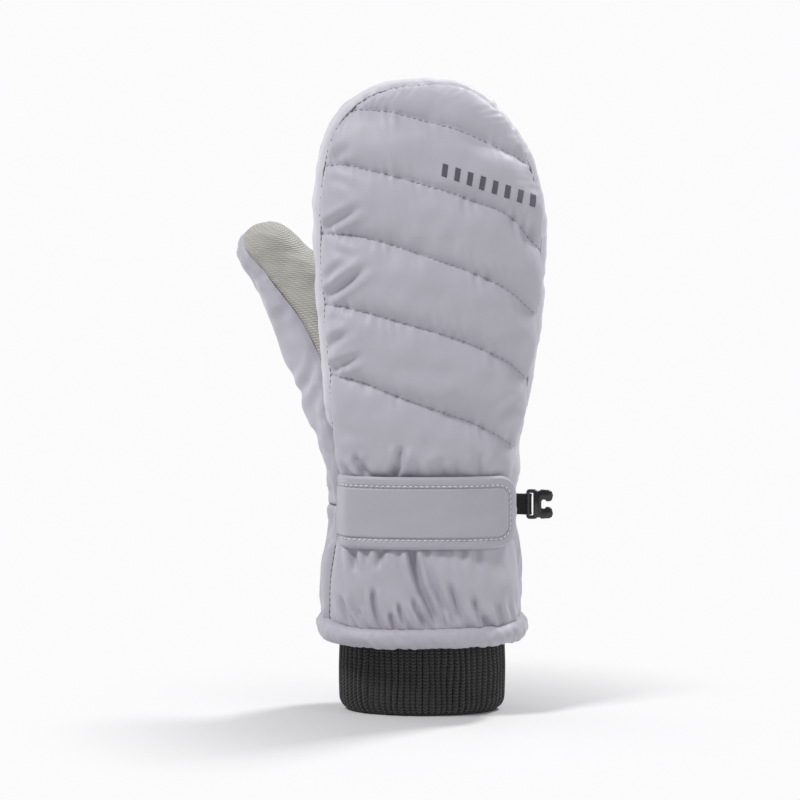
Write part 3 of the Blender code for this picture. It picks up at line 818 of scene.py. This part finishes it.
def build_gauntlet():
    """Gathered palm side of the gauntlet, from the back seam round to the back seam."""
    turn = np.linspace(-1, 1, 300)[None, :]
    angle = np.where(turn > 0, 0, PI)
    psi = PI - (PI - back_seam(angle)) * np.abs(turn)
    base = hand_surface(even(HEM_TOP, WRIST, 0.8)[:, None], angle, psi)
    n, _, edge, _ = panel(base, from_axis(base))
    z, run = base[..., 2], wrist_run(base)
    relief = elastic_gathers(base) + 1.6 * bump(z, 68, 14) + swells(run, z, (0.5, 30, 22, 41))
    hem = bump(z, HEM_LINE + 1, 10)
    relief += 0.8 * hem * field((run / 4.8 + 0.07 * z, z / 38), 42)
    # fine creases that lean as the gathers do
    lean = run - (0.04 + 0.36 * ease(-26, -8, run)) * np.maximum(WRIST - 6 - z, 0)
    fine = 0.32 - np.abs(field((lean / 4.4, z / 40), 43))
    relief += 0.55 * fine * ease(44, 54, z) * ease(90, 78, z)
    relief *= 1 - 0.94 * fall(edge, 3.4)
    relief += seam_roll(edge, 0.7, 1.9) + seam_roll(WRIST - z, 0.7, 1.3) - hem_dip(base)
    gauntlet = sheet("gauntlet_palm", base + n * relief[..., None], shell, uv=stack(run, z))
    wear(gauntlet, "hand", "shell_fabric", "gauntlet_palm_panel")
    return tree_of(gauntlet)


palm_tree = build_palm()
build_band()
gauntlet_tree = build_gauntlet()


# --- thumb ---
# Along the thumb: centre x, y, z, half-width, half-depth, slant of the section in degrees, and
# the turns in degrees at which the seams of the outer panel lie
THUMB = track(
    (
        (0, -24, 1, 103, 19, 20, 0, 44, 236),
        (1, -28.5, 6, 127, 21.2, 19.5, 8, 30, 238),
        (2, -33, 13, 147, 23.2, 19, 20, 47, 241),
        (3, -38.6, 19.5, 166, 24.8, 18.3, 36, 57, 248),
        (4, -46, 23.5, 178.5, 23, 17.6, 36.9, 54, 254),
        (5, -54.2, 26, 192, 20.4, 16.6, 36.9, 45, 253),
        (6, -64.1, 27.5, 206.2, 17.2, 15.2, 36.9, 28, 245),
        (7, -73.4, 28, 217.4, 13.9, 13, 38, 20, 236),
        (8, -83, 28, 229.2, 13.9, 13, 38, 8, 204),
    )
)
THUMB_TOP = 7  # where the rounded tip starts
THUMB_TIP = 15.5  # how far it reaches
TIP_X, TIP_Z = -0.62, 0.785
THUMB_FLAT = 2 / 2.25


def thumb_surface(place, theta):
    """place runs 0 to 7 along the thumb and on to 8 over its tip. theta is a turn in radians."""
    shape = THUMB(np.minimum(place, THUMB_TOP))
    cx, cy, cz, wide, deep, slant = (shape[..., n] for n in range(6))
    over = np.clip(place - THUMB_TOP, 0, 1) * PI / 2
    rise, shrink, slant = THUMB_TIP * np.sin(over), np.cos(over) ** 0.9, np.radians(slant)
    c, s = np.cos(theta), np.sin(theta)
    across = wide * shrink * np.sign(c) * np.abs(c) ** THUMB_FLAT
    out = deep * shrink * np.sign(s) * np.abs(s) ** THUMB_FLAT
    x, z = cx + TIP_X * rise + across * np.cos(slant), cz + TIP_Z * rise + across * np.sin(slant)
    return stack(x, cy + out, z)


def thumb_seams(place):
    shape = THUMB(place)
    return np.radians(shape[..., 6]), np.radians(shape[..., 7])


# Creases seen from the palm side, and those seen from the back of the hand
THUMB_CREASES = (
    (-22, 147, -54, 153, 1.9, 2.3, 1.6),
    (-15, 142, -49, 137, 2, 2.9, -1.6),
    (-19, 137, -38, 125, 2, 2.2, 0.9),
    (-36, 144, -55, 147, 1.6, 1.4, 0.8),
    (-10, 126, -13, 104, 1.5, 3.4, 0.2),
    (-12, 126, -24, 104, 1.8, 5, 0.8),
    (-19, 122, -30, 105, 1.7, 3.6, 0.8),
    (-31, 174, -40, 184, 3, 0.9, 0.8),
    (-24, 161, -46, 166, 3, 0.8, 1),
    (-52, 198, -60, 204, 2.6, 0.7, 0.6),
    (-66, 219, -71, 212, 2.2, 0.8, 0.4),
)
THUMB_BACK_CREASES = (
    (-49, 172, -59, 148, 2.2, 1.3, -1.2),
    (-46, 172, -50, 142, 2, 1.3, -0.8),
    (-43, 166, -44, 140, 2, 1, -0.6),
    (-62, 198, -66, 186, 2.4, 0.9, 0.6),
    (-72, 212, -76, 204, 2.2, 0.8, 0.4),
    (-52, 150, -46, 126, 2.6, 1.1, 1),
    (-44, 132, -41, 112, 1.8, 1.2, 0.5),
)
# Where the thumb starts to follow its own body, and where it does so fully
BLEND = [world(np.array(point)).tolist() for point in ((-31, 0, 142), (-43, 0, 176))]


def thumb_rows(first):
    return np.concatenate([even(first, THUMB_TOP, 0.05), even(THUMB_TOP, 8, 0.06)[1:]])[:, None]


def thumb_outward(place, base):
    return base - THUMB(np.minimum(place, THUMB_TOP))[..., :3]


def thumb_cloth(place, base, waves, puff, folds=0, low_seam=0):
    """Puffs out one of the thumb's panels. The last of the waves runs beside its seams."""
    n, near, edge, run = panel(base, thumb_outward(place, base))
    relief = folds + swells(run, near, *waves[:-1])
    relief += fall(edge, 4) * swells(run, near, waves[-1])
    relief *= 1 - 0.75 * fall(edge, 4)
    relief += low_seam + seam_roll(edge, 1.5, 1.8) + puff * bump(edge, 5, 3)
    return base + n * (relief * ease(8, 7.6, place))[..., None]


def build_thumb_outer():
    place, share = thumb_rows(0), np.linspace(0, 1, 120)[None, :]
    ellipse = thumb_surface(place, between(*thumb_seams(place), share))
    low = track(((0, WRIST), (2, 150)))(np.minimum(place, 2))[..., 0]
    seam_psi, back_psi = PI - psi_at(0.24), psi_at(BACK_SHARE_THUMB - 0.004)
    hand = hand_surface(low, PI, between(seam_psi, back_psi, share))
    base = between(hand, ellipse, ease(0, 1.9, place)[..., None])
    outward = thumb_outward(place, base)
    x, z, lowest = base[..., 0], base[..., 2], place < 3
    palmward = ease(-0.25, 0.35, grid_normals(base, outward)[..., 1])
    folds = between(creases(x, z, THUMB_BACK_CREASES), creases(x, z, THUMB_CREASES), palmward)
    folds += 0.6 + elastic_gathers(base) * ease(138, 108, z) * lowest
    low_seam = seam_roll(z - WRIST, 0.7, 1.3) * lowest
    waves = ((0.8, 30, 26, 51), (0.35, 12, 13, 52), (0.3, 4.8, 10, 53))
    points = thumb_cloth(place, base, waves, 0.5, folds, low_seam)
    outer = sheet("thumb_outer", points, shell, outward=outward)
    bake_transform(outer)
    parts = ("thumb_outer_panel", "thumb_heel_panel", "thumb_wadding")
    return wear(outer, None, "shell_fabric", *parts)


def build_thumb_grip():
    place, share = thumb_rows(1), np.linspace(0, 1, 120)[None, :]
    first, last = thumb_seams(place)
    base = thumb_surface(place, between(last, first + 2 * PI, share))
    waves = ((0.6, 30, 24, 61), (0.3, 11, 12, 62), (0.3, 4.8, 10, 63))
    points = thumb_cloth(place, base, waves, 0.4)
    u, v = along(points, 1), along(points, 0)
    uv = stack(0.85 * v + 0.3 * u, 0.55 * v - 0.3 * u)  # ribs run across
    pad = sheet("thumb_grip", points, grip, uv=uv, outward=thumb_outward(place, base))
    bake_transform(pad)
    parts = ("thumb_grip_panel", "thumb_lining", "thumb_waterproof_insert")
    wear(pad, None, "grip_fabric", *parts)


thumb_tree = tree_of(build_thumb_outer())
build_thumb_grip()


# --- inside ---
def build_pouch(name, low, inset, material, slot, *parts):
    """A thin bag, inset from the hand's surface."""
    height, angle = u_rows(low, 2.2)
    points = hand_surface(height, angle, np.linspace(0, PI, 64)[None, :], inset)
    n = grid_normals(points, from_axis(points))
    n[:, [0, -1]] = 0
    points = points + n * swells(points[..., 0], points[..., 2], (0.3, 14, 14, 71))[..., None]
    wear(sheet(name, points, material, thickness=1), "hand", slot, *parts)


build_pouch("seam_backing", 44, 4.8, seam_cloth, "membrane", "waterproof_insert")
LININGS = ("lining_back", "lining_palm", "gauntlet_lining")
build_pouch("inner_lining", 62, 9.5, fleece, "fleece", *LININGS)


# --- knit cuff ---
def build_cuff():
    wide, deep, wall = 38.5, 21.2, 4.4
    per_rib = 7
    turn = np.linspace(0, 1, RIB_COUNT * per_rib + 1)
    # equal distances round the oval
    t = np.linspace(0, 2 * PI, 4001)
    run = along(np.stack([np.sin(t) * wide, -np.cos(t) * deep], axis=1), 0)
    t = np.interp(turn * run[-1], run, t)

    outer = [(0, z) for z in even(47, 5, 1.5)]
    fold = [(wall / 2 * (1 - np.cos(a)), 4.2 - 4.2 * np.sin(a)) for a in even(0, PI, PI / 12)[1:]]
    inner = [(wall, z) for z in even(6, 76, 2.6)]
    profile = np.array(outer + fold + inner)
    inset, level = profile[:, :1], profile[:, 1:]
    corner = 1.9 * ease(7, 0, level) ** 1.5
    swell = 0.5 * bump(level, 18, 14) * (inset < 1)
    grow = swell - inset - corner * (inset < wall / 2)
    points = stack((wide + grow) * np.sin(t), -(deep + grow) * np.cos(t), level)
    outward = unit(stack(np.sin(t), -np.cos(t) * wide / deep, 0))
    # the first rib meets the last one without a step
    closed = ease(0, 0.02, turn) * ease(1, 0.98, turn)
    ribs = turn * RIB_COUNT + 0.16 * closed * field((level / 26, turn * 14), 73)
    rib = 1 - np.abs(2 * (ribs % 1) - 1) ** 3.2
    side = np.where(inset < wall / 2, 1, -1) * ease(0, 2.5, level)
    uneven = 1 + 0.25 * closed * field((turn * 20, 0), 74)
    points += outward[None] * (side * (1.25 * rib * uneven - 0.75))[..., None]
    points[..., 2] = np.maximum(points[..., 2], 0)
    uv = stack(ribs * RIB_PITCH, along(points, 0)[:, :1])
    cuff = sheet("knit_cuff_ribbed", points, knit, uv=uv, thickness=0, wrap_rows=True)
    wear(face_out(cuff), "hand", "rib_knit", "knit_cuff")


build_cuff()


# --- hem ---
def build_hem():
    wide, deep = 45.6, 28.2
    around = np.linspace(0, 2 * PI, 421)[:, None]
    spin = np.linspace(0, 2 * PI, 31)[None, :]
    out, back = section(around)
    centre_y = -back * deep
    level = 40.2 + 2.2 * centre_y / 28 + 0.9 * out**4 + 0.35 * np.sin(3 * around + 0.6)
    side = unit(stack(out / wide, -back / deep, 0))
    path = stack(out * wide, centre_y, level)
    run = along(path, 0)
    thick = 4.3 - 0.55 * ease(0, 20, centre_y) + 0.7 * out**6
    up = np.sin(spin)
    wrinkle = 0.36 * field((run / 4.2 + 0.6 * np.cos(spin - 0.7), 0.6 * up), 81)
    wrinkle += 0.16 * field((run / 19, up), 82)
    wrinkle *= ease(-1, 0.6, 0.4 - up) * ease(0, 0.1, around) * ease(2 * PI, 6.18, around)
    radius = thick + wrinkle - 0.6 * bump(around, PI * 1.46, 0.012)
    offset = side * (0.96 * radius * np.cos(spin))[..., None]
    offset[..., 2] += 1.08 * radius * up
    uv = stack(run, 5 * spin)
    roll = sheet("hem_roll", path + offset, shell, uv=uv, thickness=0, outward=offset)
    wear(roll, "hand", "shell_fabric", "hem_binding", "hem_cord")


build_hem()


# --- stitches ---
# Rings of a stitch: share of its length, thickness and rise, in shares and millimetres
STITCH_RINGS = ((0, 0.25, -0.15), (0.25, 1, 0.1), (0.75, 1, 0.1), (1, 0.25, -0.15))
STITCH_SIDES = 6


def stitch_mesh(name, pieces, material, thick, body="hand", lift=0.12):
    """Small spindles of thread. Each piece is (start, end, normal)."""
    points, faces = [], []
    for start, end, normal in pieces:
        axis = end - start
        length = np.linalg.norm(axis)
        if length < 0.2:
            continue
        side = np.cross(axis / length, normal)
        side /= max(np.linalg.norm(side), 1e-6)
        first = len(points)
        for share, size, rise in STITCH_RINGS:
            middle = start + axis * share + normal * (lift + rise)
            for k in range(STITCH_SIDES):
                a = 2 * PI * k / STITCH_SIDES
                points.append(middle + thick * size * (side * math.cos(a) + normal * math.sin(a)))
        faces += grid_faces(len(STITCH_RINGS), STITCH_SIDES, wrap_cols=True, start=first)
        faces.append(tuple(first + k for k in reversed(range(STITCH_SIDES))))
        faces.append(tuple(len(points) - STITCH_SIDES + k for k in range(STITCH_SIDES)))
    return wear(face_out(mesh_object(name, points, faces, material)), body)


def dashes(spots, length, gap):
    """Stitches along a list of (point, normal) spots."""
    points, normals = (np.array(column) for column in zip(*spots))
    run = along(points, 0)

    def at(distance):
        return np.array([np.interp(distance, run, points[:, k]) for k in range(3)])

    pieces, place = [], 0.3
    while place + length < run[-1]:
        normal = normals[min(np.searchsorted(run, place + length / 2), len(normals) - 1)]
        pieces.append((at(place), at(place + length), normal))
        place += length + gap
    return pieces


def build_quilt_stitches():
    pieces = []
    for line in LINES:
        spots = [back_pattern.at(x, float(line(x)[0])) for x in even(-49, 57, 0.6)]
        pieces += dashes([spot for spot in spots if spot and spot[1][1] < -0.4], 2.1, 0.95)
    stitch_mesh("quilt_stitches", pieces, quilt_thread, 0.24)


def build_seam_stitches():
    """Dark thread in the back panel's seam on the thumb side."""
    seam, normals = back_pattern.seam
    x, z = seam[:, 0], seam[:, 2]
    clear = np.flatnonzero((x < 8) & ((z > STRAP_HIGH) | (z < STRAP_LOW)))
    pieces = []
    for part in np.split(clear, np.flatnonzero(np.diff(clear) > 1) + 1):
        pieces += dashes([(seam[row], normals[row]) for row in part], 1.7, 1.1)
    stitch_mesh("seam_stitches", pieces, seam_thread, 0.22)


def palm_side(x, z):
    """Point and normal on the outermost cloth of the palm side."""
    hits = [drop_on(tree, x, z) for tree in (palm_tree, gauntlet_tree, thumb_tree)]
    hits = [hit for hit in hits if hit and hit[0][1] > 0]
    return max(hits, key=lambda hit: hit[0][1], default=None)


def build_elastic_stitches():
    """Two zigzag rows that hold the wrist elastic, and the straight row under the palm's seam."""
    pieces, steps = [], 5
    places = [row[0] for row in GATHERS]
    for low, high in ((101, 108), (86.6, 93)):
        corners = []
        for first, second in zip(places, places[1:]):
            corners += [(first, low), ((first + second) / 2, high)]
        for (run0, z0), (run1, z1) in zip(corners, corners[1:]):
            for k in range(steps):
                ends = []
                for share in (k / steps + 0.02, (k + 1) / steps - 0.05):
                    x = run_to_x(between(run0, run1, share))
                    ends.append(palm_side(x, between(z0, z1, share)))
                if all(ends) and abs(ends[0][0][1] - ends[1][0][1]) < 2.5:
                    pieces.append((ends[0][0], ends[1][0], ends[0][1]))
    spots = [palm_side(x, 97.6) for x in even(-40, 41, 0.5)]
    pieces += dashes([spot for spot in spots if spot], 1.5, 0.7)
    rows = stitch_mesh("elastic_stitches", pieces, white_thread, 0.26)
    wear(rows, None, "elastic", "wrist_elastic")


build_quilt_stitches()
build_seam_stitches()
build_elastic_stitches()


# --- wrist strap ---
STRAP_MIDDLE, STRAP_HALF, STRAP_CORNER = 97, 17, 10.5
STRAP_TOP = 5  # height of its face off the hand
STRAP_SEAM = 4.4  # distance of its stitching from the edge
SHARES = np.linspace(-0.93, 0.95, 600)
STRAP_PATH = hand_surface(STRAP_MIDDLE, np.where(SHARES < 0, PI, 0), psi_at(np.abs(SHARES)))
STRAP_RUN = along(STRAP_PATH, 0)
STRAP_LENGTH = float(STRAP_RUN[-1])


def strap_xy(run):
    return [np.interp(run, STRAP_RUN, STRAP_PATH[:, axis]) for axis in (0, 1)]


def strap_place(run, lift, z):
    """Point and normal at a distance along the strap's path, lifted off the hand."""
    (x0, y0), (x, y), (x1, y1) = (strap_xy(run + step) for step in (-0.4, 0, 0.4))
    size = np.maximum(np.hypot(x1 - x0, y1 - y0), 1e-6)
    out_x, out_y = (y1 - y0) / size, (x0 - x1) / size
    return stack(x + out_x * lift, y + out_y * lift, z), stack(out_x, out_y, 0)


def strap_edge(run, up):
    """Distance in from the strap's outline."""
    ahead = np.maximum(STRAP_CORNER - (STRAP_LENGTH - run), 0)
    above = np.maximum(np.abs(up) - (STRAP_HALF - STRAP_CORNER), 0)
    return STRAP_CORNER - np.hypot(ahead, above)


def strap_surface(run, up):
    inside = strap_edge(run, up)
    lift = STRAP_TOP - 3.2 * ease(9, 0, run) + 0.3 * ease(5.2, 5.7, inside)
    lift = lift + swells(run, up, (0.3, 34, 30, 91), (0.12, 9, 14, 92))
    lift = lift + fall(np.abs(inside - 3), 2.2) * swells(run, up, (0.1, 3.4, 9, 93))
    for place, deep, width in ((0, 0.9, 0.8), (STRAP_SEAM, 0.45, 0.5), (5.4, 0.85, 0.32)):
        lift = lift - deep * bump(inside, place, width)
    return strap_place(run, lift, STRAP_MIDDLE + up)


def build_strap():
    tip = STRAP_LENGTH - 12
    run = np.concatenate([even(0, tip, 0.8), even(tip, STRAP_LENGTH, 0.3)[1:]])
    ahead = np.maximum(STRAP_CORNER - (STRAP_LENGTH - run), 0)
    half = STRAP_HALF - STRAP_CORNER + np.sqrt(np.maximum(STRAP_CORNER**2 - ahead**2, 0))
    share = np.sin(np.linspace(-PI / 2, PI / 2, 121)) * 0.6 + np.linspace(-1, 1, 121) * 0.4
    run, up = np.broadcast_arrays(run[:, None], half[:, None] * share[None, :])
    points, _ = strap_surface(run, up)
    back = points * np.array([0, 1, 0])
    strap = sheet("wrist_strap", points, strap_cloth, stack(run, up), back, 1.9)
    wear(strap, "strap", "strap_fabric", "strap_face", "strap_backing")

    start, end, arc = 2.5, STRAP_LENGTH - STRAP_CORNER, STRAP_CORNER - STRAP_SEAM
    line = [(r, STRAP_HALF - STRAP_SEAM) for r in even(start, end, 0.5)]
    for a in even(PI / 2, -PI / 2, 0.05):
        c, s = math.cos(a), math.sin(a)
        line.append((end + arc * c, (STRAP_HALF - STRAP_CORNER) * np.sign(s) + arc * s))
    line += [(r, STRAP_SEAM - STRAP_HALF) for r in even(end, start, 0.5)]
    pieces = dashes([strap_surface(*place) for place in line], 1.9, 0.7)
    rows = stitch_mesh("strap_stitches", pieces, strap_thread, 0.34, "strap", 0.22)


def build_pile(name, part, body, out, seed):
    """A patch of hook or loop pile, standing on the CAD patch's own outline."""
    (x0, _, z0), (x1, _, z1) = box_of(part)
    run0, run1 = (np.interp(x, STRAP_PATH[:, 0], STRAP_RUN) for x in (x0, x1))
    rows = even(run0 + 0.4, run1 - 0.4, 0.55)[:, None]
    cols = even(z0 + 0.4, z1 - 0.4, 0.55)[None, :]
    tuft = np.random.default_rng(seed).uniform(-0.28, 0.28, (rows.size, cols.size))
    inside = [np.minimum(line - line.min(), line.max() - line) for line in (rows, cols)]
    lift = out + tuft - 0.5 * fall(np.minimum(*inside), 0.5)
    points, _ = strap_place(rows, lift, cols)
    wear(sheet(name, points, hook_tape, thickness=0.7), body, "hook_and_loop", part)


build_strap()
build_pile("hook_patch_pile", "hook_patch", "strap", 2.7, 95)
build_pile("loop_patch_pile", "loop_patch", "hand", 1.3, 96)


# --- printed mark: plain slanted bars ---
def build_print():
    points, faces, uv = [], [], []
    long, wide = np.linspace(-0.5, 0.5, 13) * 5.8, np.linspace(-0.5, 0.5, 7) * 2.5
    for k in range(8):
        faces += grid_faces(len(long), len(wide), start=len(points))
        middle_x, middle_z = 10.2 + 5.75 * k, 255.8 - 1.95 * k
        for a in long:
            for b in wide:
                x, z = middle_x + b * 0.95 + a * 0.12, middle_z + a - b * 0.34
                point, normal = back_pattern.at(x, z)
                points.append(point + normal * 0.13)
                uv.append((x, z))
    mark = thicken(mesh_object("print_mark", points, faces, print_ink, uv), 0.08)
    wear(face_out(mark), "hand", "shell_fabric")


build_print()


# --- webbing and clip ---
WEB_LOW, WEB_HIGH = box_of("clip_webbing")
WEB_HALF = (WEB_HIGH[2] - WEB_LOW[2]) / 2
CLIP_LOW, CLIP_HIGH = box_of("glove_clip")
CLIP_MIDDLE_Y = (CLIP_LOW[1] + CLIP_HIGH[1]) / 2 - AXIS_Y
CLIP_END = CLIP_HIGH[0]
BAR_X = 51  # the bar that the tape turns round


def smooth_path(path, step):
    table = np.array(path, float)
    run = along(table, 0)
    return track(np.column_stack([run, table]))(even(0, run[-1], step))


def tape_sheet(name, path, centre, body, *parts):
    """A run of woven tape. path is its outline in (x, y), seen along Z."""
    path = np.array(path)
    up = even(-WEB_HALF, WEB_HALF, 0.42)[None, :]
    row = 0.5 * np.arange(len(path))[:, None]
    selvedge = 0.16 * bump(np.abs(up), WEB_HALF - 0.6, 0.5)
    weave = 0.1 * np.sin(2 * PI * up / 1.25) * np.sin(2 * PI * row / 1.1)
    points = stack(path[:, :1], path[:, 1:], CLIP_Z + up)
    n = grid_normals(points, points - np.array([*centre, CLIP_Z]))
    away = np.sum(n[..., :2] * (path - centre)[:, None, :], axis=-1) > 0
    n = n * np.where(away, 1, -1)[..., None]
    points = points + n * (weave + selvedge)[..., None]
    wear(sheet(name, points, webbing, outward=n, thickness=1), body, "webbing", *parts)


def build_webbing():
    """The sewn-down root on the gauntlet, and the loop that turns with the clip."""
    root, bar, radius = np.array([42.6, 13.5]), np.array([BAR_X, 12]), 1.75
    axis = unit(bar - root)
    across = np.array([-axis[1], axis[0]])
    bend = math.atan2(across[1], across[0]) - even(0.35, PI - 0.35, 0.2)
    path = [root + across * 0.75 + axis * d for d in even(-0.6, 5.6, 0.5)]
    path += [bar + radius * np.array([math.cos(a), math.sin(a)]) for a in bend]
    path += [root - across * 0.75 + axis * d for d in even(5.6, -0.6, 0.5)]
    tape_sheet("webbing_loop", path, (root + bar) / 2, "webbing", "clip_webbing")
    sewn = smooth_path([(36.6, 13.4), (37.2, 14.7), (39.4, 15.1), (43, 14.5)], 0.5)
    tape_sheet("webbing_root", sewn, np.array([38, 10]), "hand")
    pieces = []
    for z in even(-3.6, 3.6, 1.8):
        for x in (38.4, 40.4):
            low, high = (np.array([x, 15.1, CLIP_Z + z + end]) for end in (-0.6, 0.6))
            pieces.append((low, high, np.array([0.1, 0.99, 0])))
    stitch_mesh("webbing_stitches", pieces, black_thread, 0.2, "hand", 0.05)


def swept(path, wide, deep):
    """Tube of rounded-rectangle section along a path of (x, z), about the clip's middle plane."""
    path = np.array(path)
    tangent = unit(np.gradient(path, axis=0))
    spin = np.linspace(0, 2 * PI, 12, endpoint=False)[None, :]
    c, s = (np.sign(v) * np.abs(v) ** 0.55 for v in (np.cos(spin), np.sin(spin)))
    x, z = path[:, :1] + tangent[:, 1:] * wide / 2 * c, path[:, 1:] - tangent[:, :1] * wide / 2 * c
    return stack(x, deep / 2 * s, z)


def rounded_box_path(x0, x1, z0, z1, radius, step=0.25):
    right, left, high, low = x1 - radius, x0 + radius, z1 - radius, z0 + radius
    path = []
    for turn, (x, z) in enumerate(((right, high), (left, high), (left, low), (right, low))):
        for a in even(turn * PI / 2, (turn + 1) * PI / 2, 0.2):
            path.append(np.array([x + radius * math.cos(a), z + radius * math.sin(a)]))
    dense = []
    for first, second in zip(path, path[1:] + path[:1]):
        count = max(1, int(math.dist(first, second) / step))
        dense += [between(first, second, k / count) for k in range(count)]
    return dense


def inset_outline(outline, distance):
    """Moves a clockwise outline inwards."""
    p = np.array(outline)
    tangent = unit(unit(np.roll(p, -1, axis=0) - p) + unit(p - np.roll(p, 1, axis=0)))
    return p + np.column_stack([tangent[:, 1], -tangent[:, 0]]) * distance


def mirrored(half):
    """A run of (x, z) and its mirror image below the clip's middle."""
    return half + [(x, -z) for x, z in half[::-1]]


def build_clip():
    points, faces = [], []

    def add(grid, closed=False):
        rows, cols = grid.shape[:2]
        start = len(points)
        points.extend((grid + np.array([0, CLIP_MIDDLE_Y, CLIP_Z])).reshape(-1, 3))
        faces.extend(grid_faces(rows, cols, wrap_rows=closed, wrap_cols=True, start=start))
        if not closed:
            faces.append(tuple(start + k for k in range(cols)))
            faces.append(tuple(start + (rows - 1) * cols + k for k in reversed(range(cols))))

    # collar: the bar the tape turns round, and the frame of its slot
    add(swept(rounded_box_path(BAR_X, 54.5, -6.3, 6.3, 0.8), 1.7, 4.2), closed=True)
    # raised line on both faces
    half_line = [(60, 4.7), (58, 4.6), (56.9, 4.2), (56.3, 3.4), (56.2, 2), (56.2, 0.7)]
    line = swept(smooth_path(mirrored(half_line), 0.3), 0.75, 0.9)
    for face_y in (2.05, -2.05):
        add(line + np.array([0, face_y, 0]))
    # jaws: one C-shaped plate
    outline = mirrored(
        [(53.6, 6.9), (54.9, 6.9), (55.4, 6.3), (56.7, 6.3), (57.3, 6.9), (61.2, 6.7), (62.5, 6)]
        + [(CLIP_END, 4.4), (62.5, 2.3), (61.6, 1.5), (59.8, 1.5), (59.2, 2.3), (57.9, 2.3)]
        + [(57.4, 1.4)]
    )
    rings = []
    for y, inset in ((-2.1, 0.35), (-1.8, 0), (1.8, 0), (2.1, 0.35)):
        ring = inset_outline(outline, inset)
        rings.append(stack(ring[:, 0], y, ring[:, 1]))
    add(np.array(rings))
    clip = face_out(mesh_object("clip_moulded", points, faces, clip_black))
    wear(clip, "clip", "clip_plastic", "glove_clip")


build_webbing()
build_clip()


# --- stage ---
WHITE = (0.97, 0.97, 0.98)
FADE = (0.045, 0.19)  # distances in metres over which the floor turns white


def build_floor():
    mesh = bpy.data.meshes.new("floor")
    corners = [(x, y, 0) for x, y in ((-6, -6), (6, -6), (6, 6), (-6, 6))]
    mesh.from_pydata(corners, [], [(0, 1, 2, 3)])
    n = Nodes("pale_floor")
    pale = n.mix(n.noise(3, 2), (0.68, 0.68, 0.68), (0.72, 0.72, 0.72))
    n.set(Base_Color=pale, Roughness=0.6)
    glow = n.add("ShaderNodeEmission", {"Color": WHITE, "Strength": 1})
    away = n.add("ShaderNodeVectorMath", {0: n.place()}, operation="LENGTH").outputs["Value"]
    ends = {"Value": away, 1: FADE[0], 2: FADE[1]}
    fade = n.add("ShaderNodeMapRange", ends, interpolation_type="SMOOTHSTEP")
    layers = {0: fade.outputs[0], 1: n.shader.outputs[0], 2: glow.outputs[0]}
    both = n.add("ShaderNodeMixShader", layers)
    n.put(n.tree.nodes["Material Output"].inputs["Surface"], both.outputs[0])
    mesh.materials.append(n.material)
    placed("floor", mesh)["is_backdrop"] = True


def build_backdrop():
    """White for the camera, dimmer and bluer as light."""
    backdrop = bpy.data.worlds.new("studio")
    bpy.context.scene.world = backdrop
    backdrop.use_nodes = True
    nodes, links = backdrop.node_tree.nodes, backdrop.node_tree.links
    seen, lit = nodes.new("ShaderNodeBackground"), nodes["Background"]
    seen.inputs["Color"].default_value = (*WHITE, 1)
    lit.inputs["Color"].default_value = (0.95, 0.96, 1, 1)
    lit.inputs["Strength"].default_value = 0.33
    path, mix = nodes.new("ShaderNodeLightPath"), nodes.new("ShaderNodeMixShader")
    links.new(path.outputs["Is Camera Ray"], mix.inputs[0])
    links.new(lit.outputs[0], mix.inputs[1])
    links.new(seen.outputs[0], mix.inputs[2])
    links.new(mix.outputs[0], nodes["World Output"].inputs["Surface"])
    bpy.context.scene.view_settings.view_transform = "Standard"


def aim(obj, place, target):
    obj.location = place
    obj.rotation_euler = (target - obj.location).to_track_quat("-Z", "Y").to_euler()


def build_lamps():
    middle = Vector((-0.01, AXIS_Y * MM, 0.15))
    lamps = (
        ("key", (-0.85, -0.62, 1.4), 0.3, 21.5),
        ("fill", (1.5, -0.8, 0.4), 0.7, 6.5),
        ("rim", (0.85, 0.62, 1.4), 0.3, 21.5),
        ("side", (-1.5, 0.8, 0.4), 0.7, 5),
    )
    for name, place, size, power in lamps:
        light = bpy.data.lights.new(name, "AREA")
        light.size, light.energy = size, power
        lamp = placed(name, light)
        aim(lamp, middle + Vector(place), middle)
        lamp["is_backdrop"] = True


def build_camera():
    lens = bpy.data.cameras.new("camera")
    lens.lens, lens.sensor_width = 110, 36
    target, elevation, distance = Vector((-0.0105, AXIS_Y * MM, 0.148)), math.radians(4), 1.16
    camera = placed("camera", lens)
    back = Vector((0, -math.cos(elevation), math.sin(elevation)))
    aim(camera, target + back * distance, target)
    bpy.context.scene.camera = camera


build_floor()
build_backdrop()
build_lamps()
build_camera()

sizes = {"cad": cad_bounds, "visual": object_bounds()}
{k: [list(map(float, corner)) for corner in v] for k, v in sizes.items()}
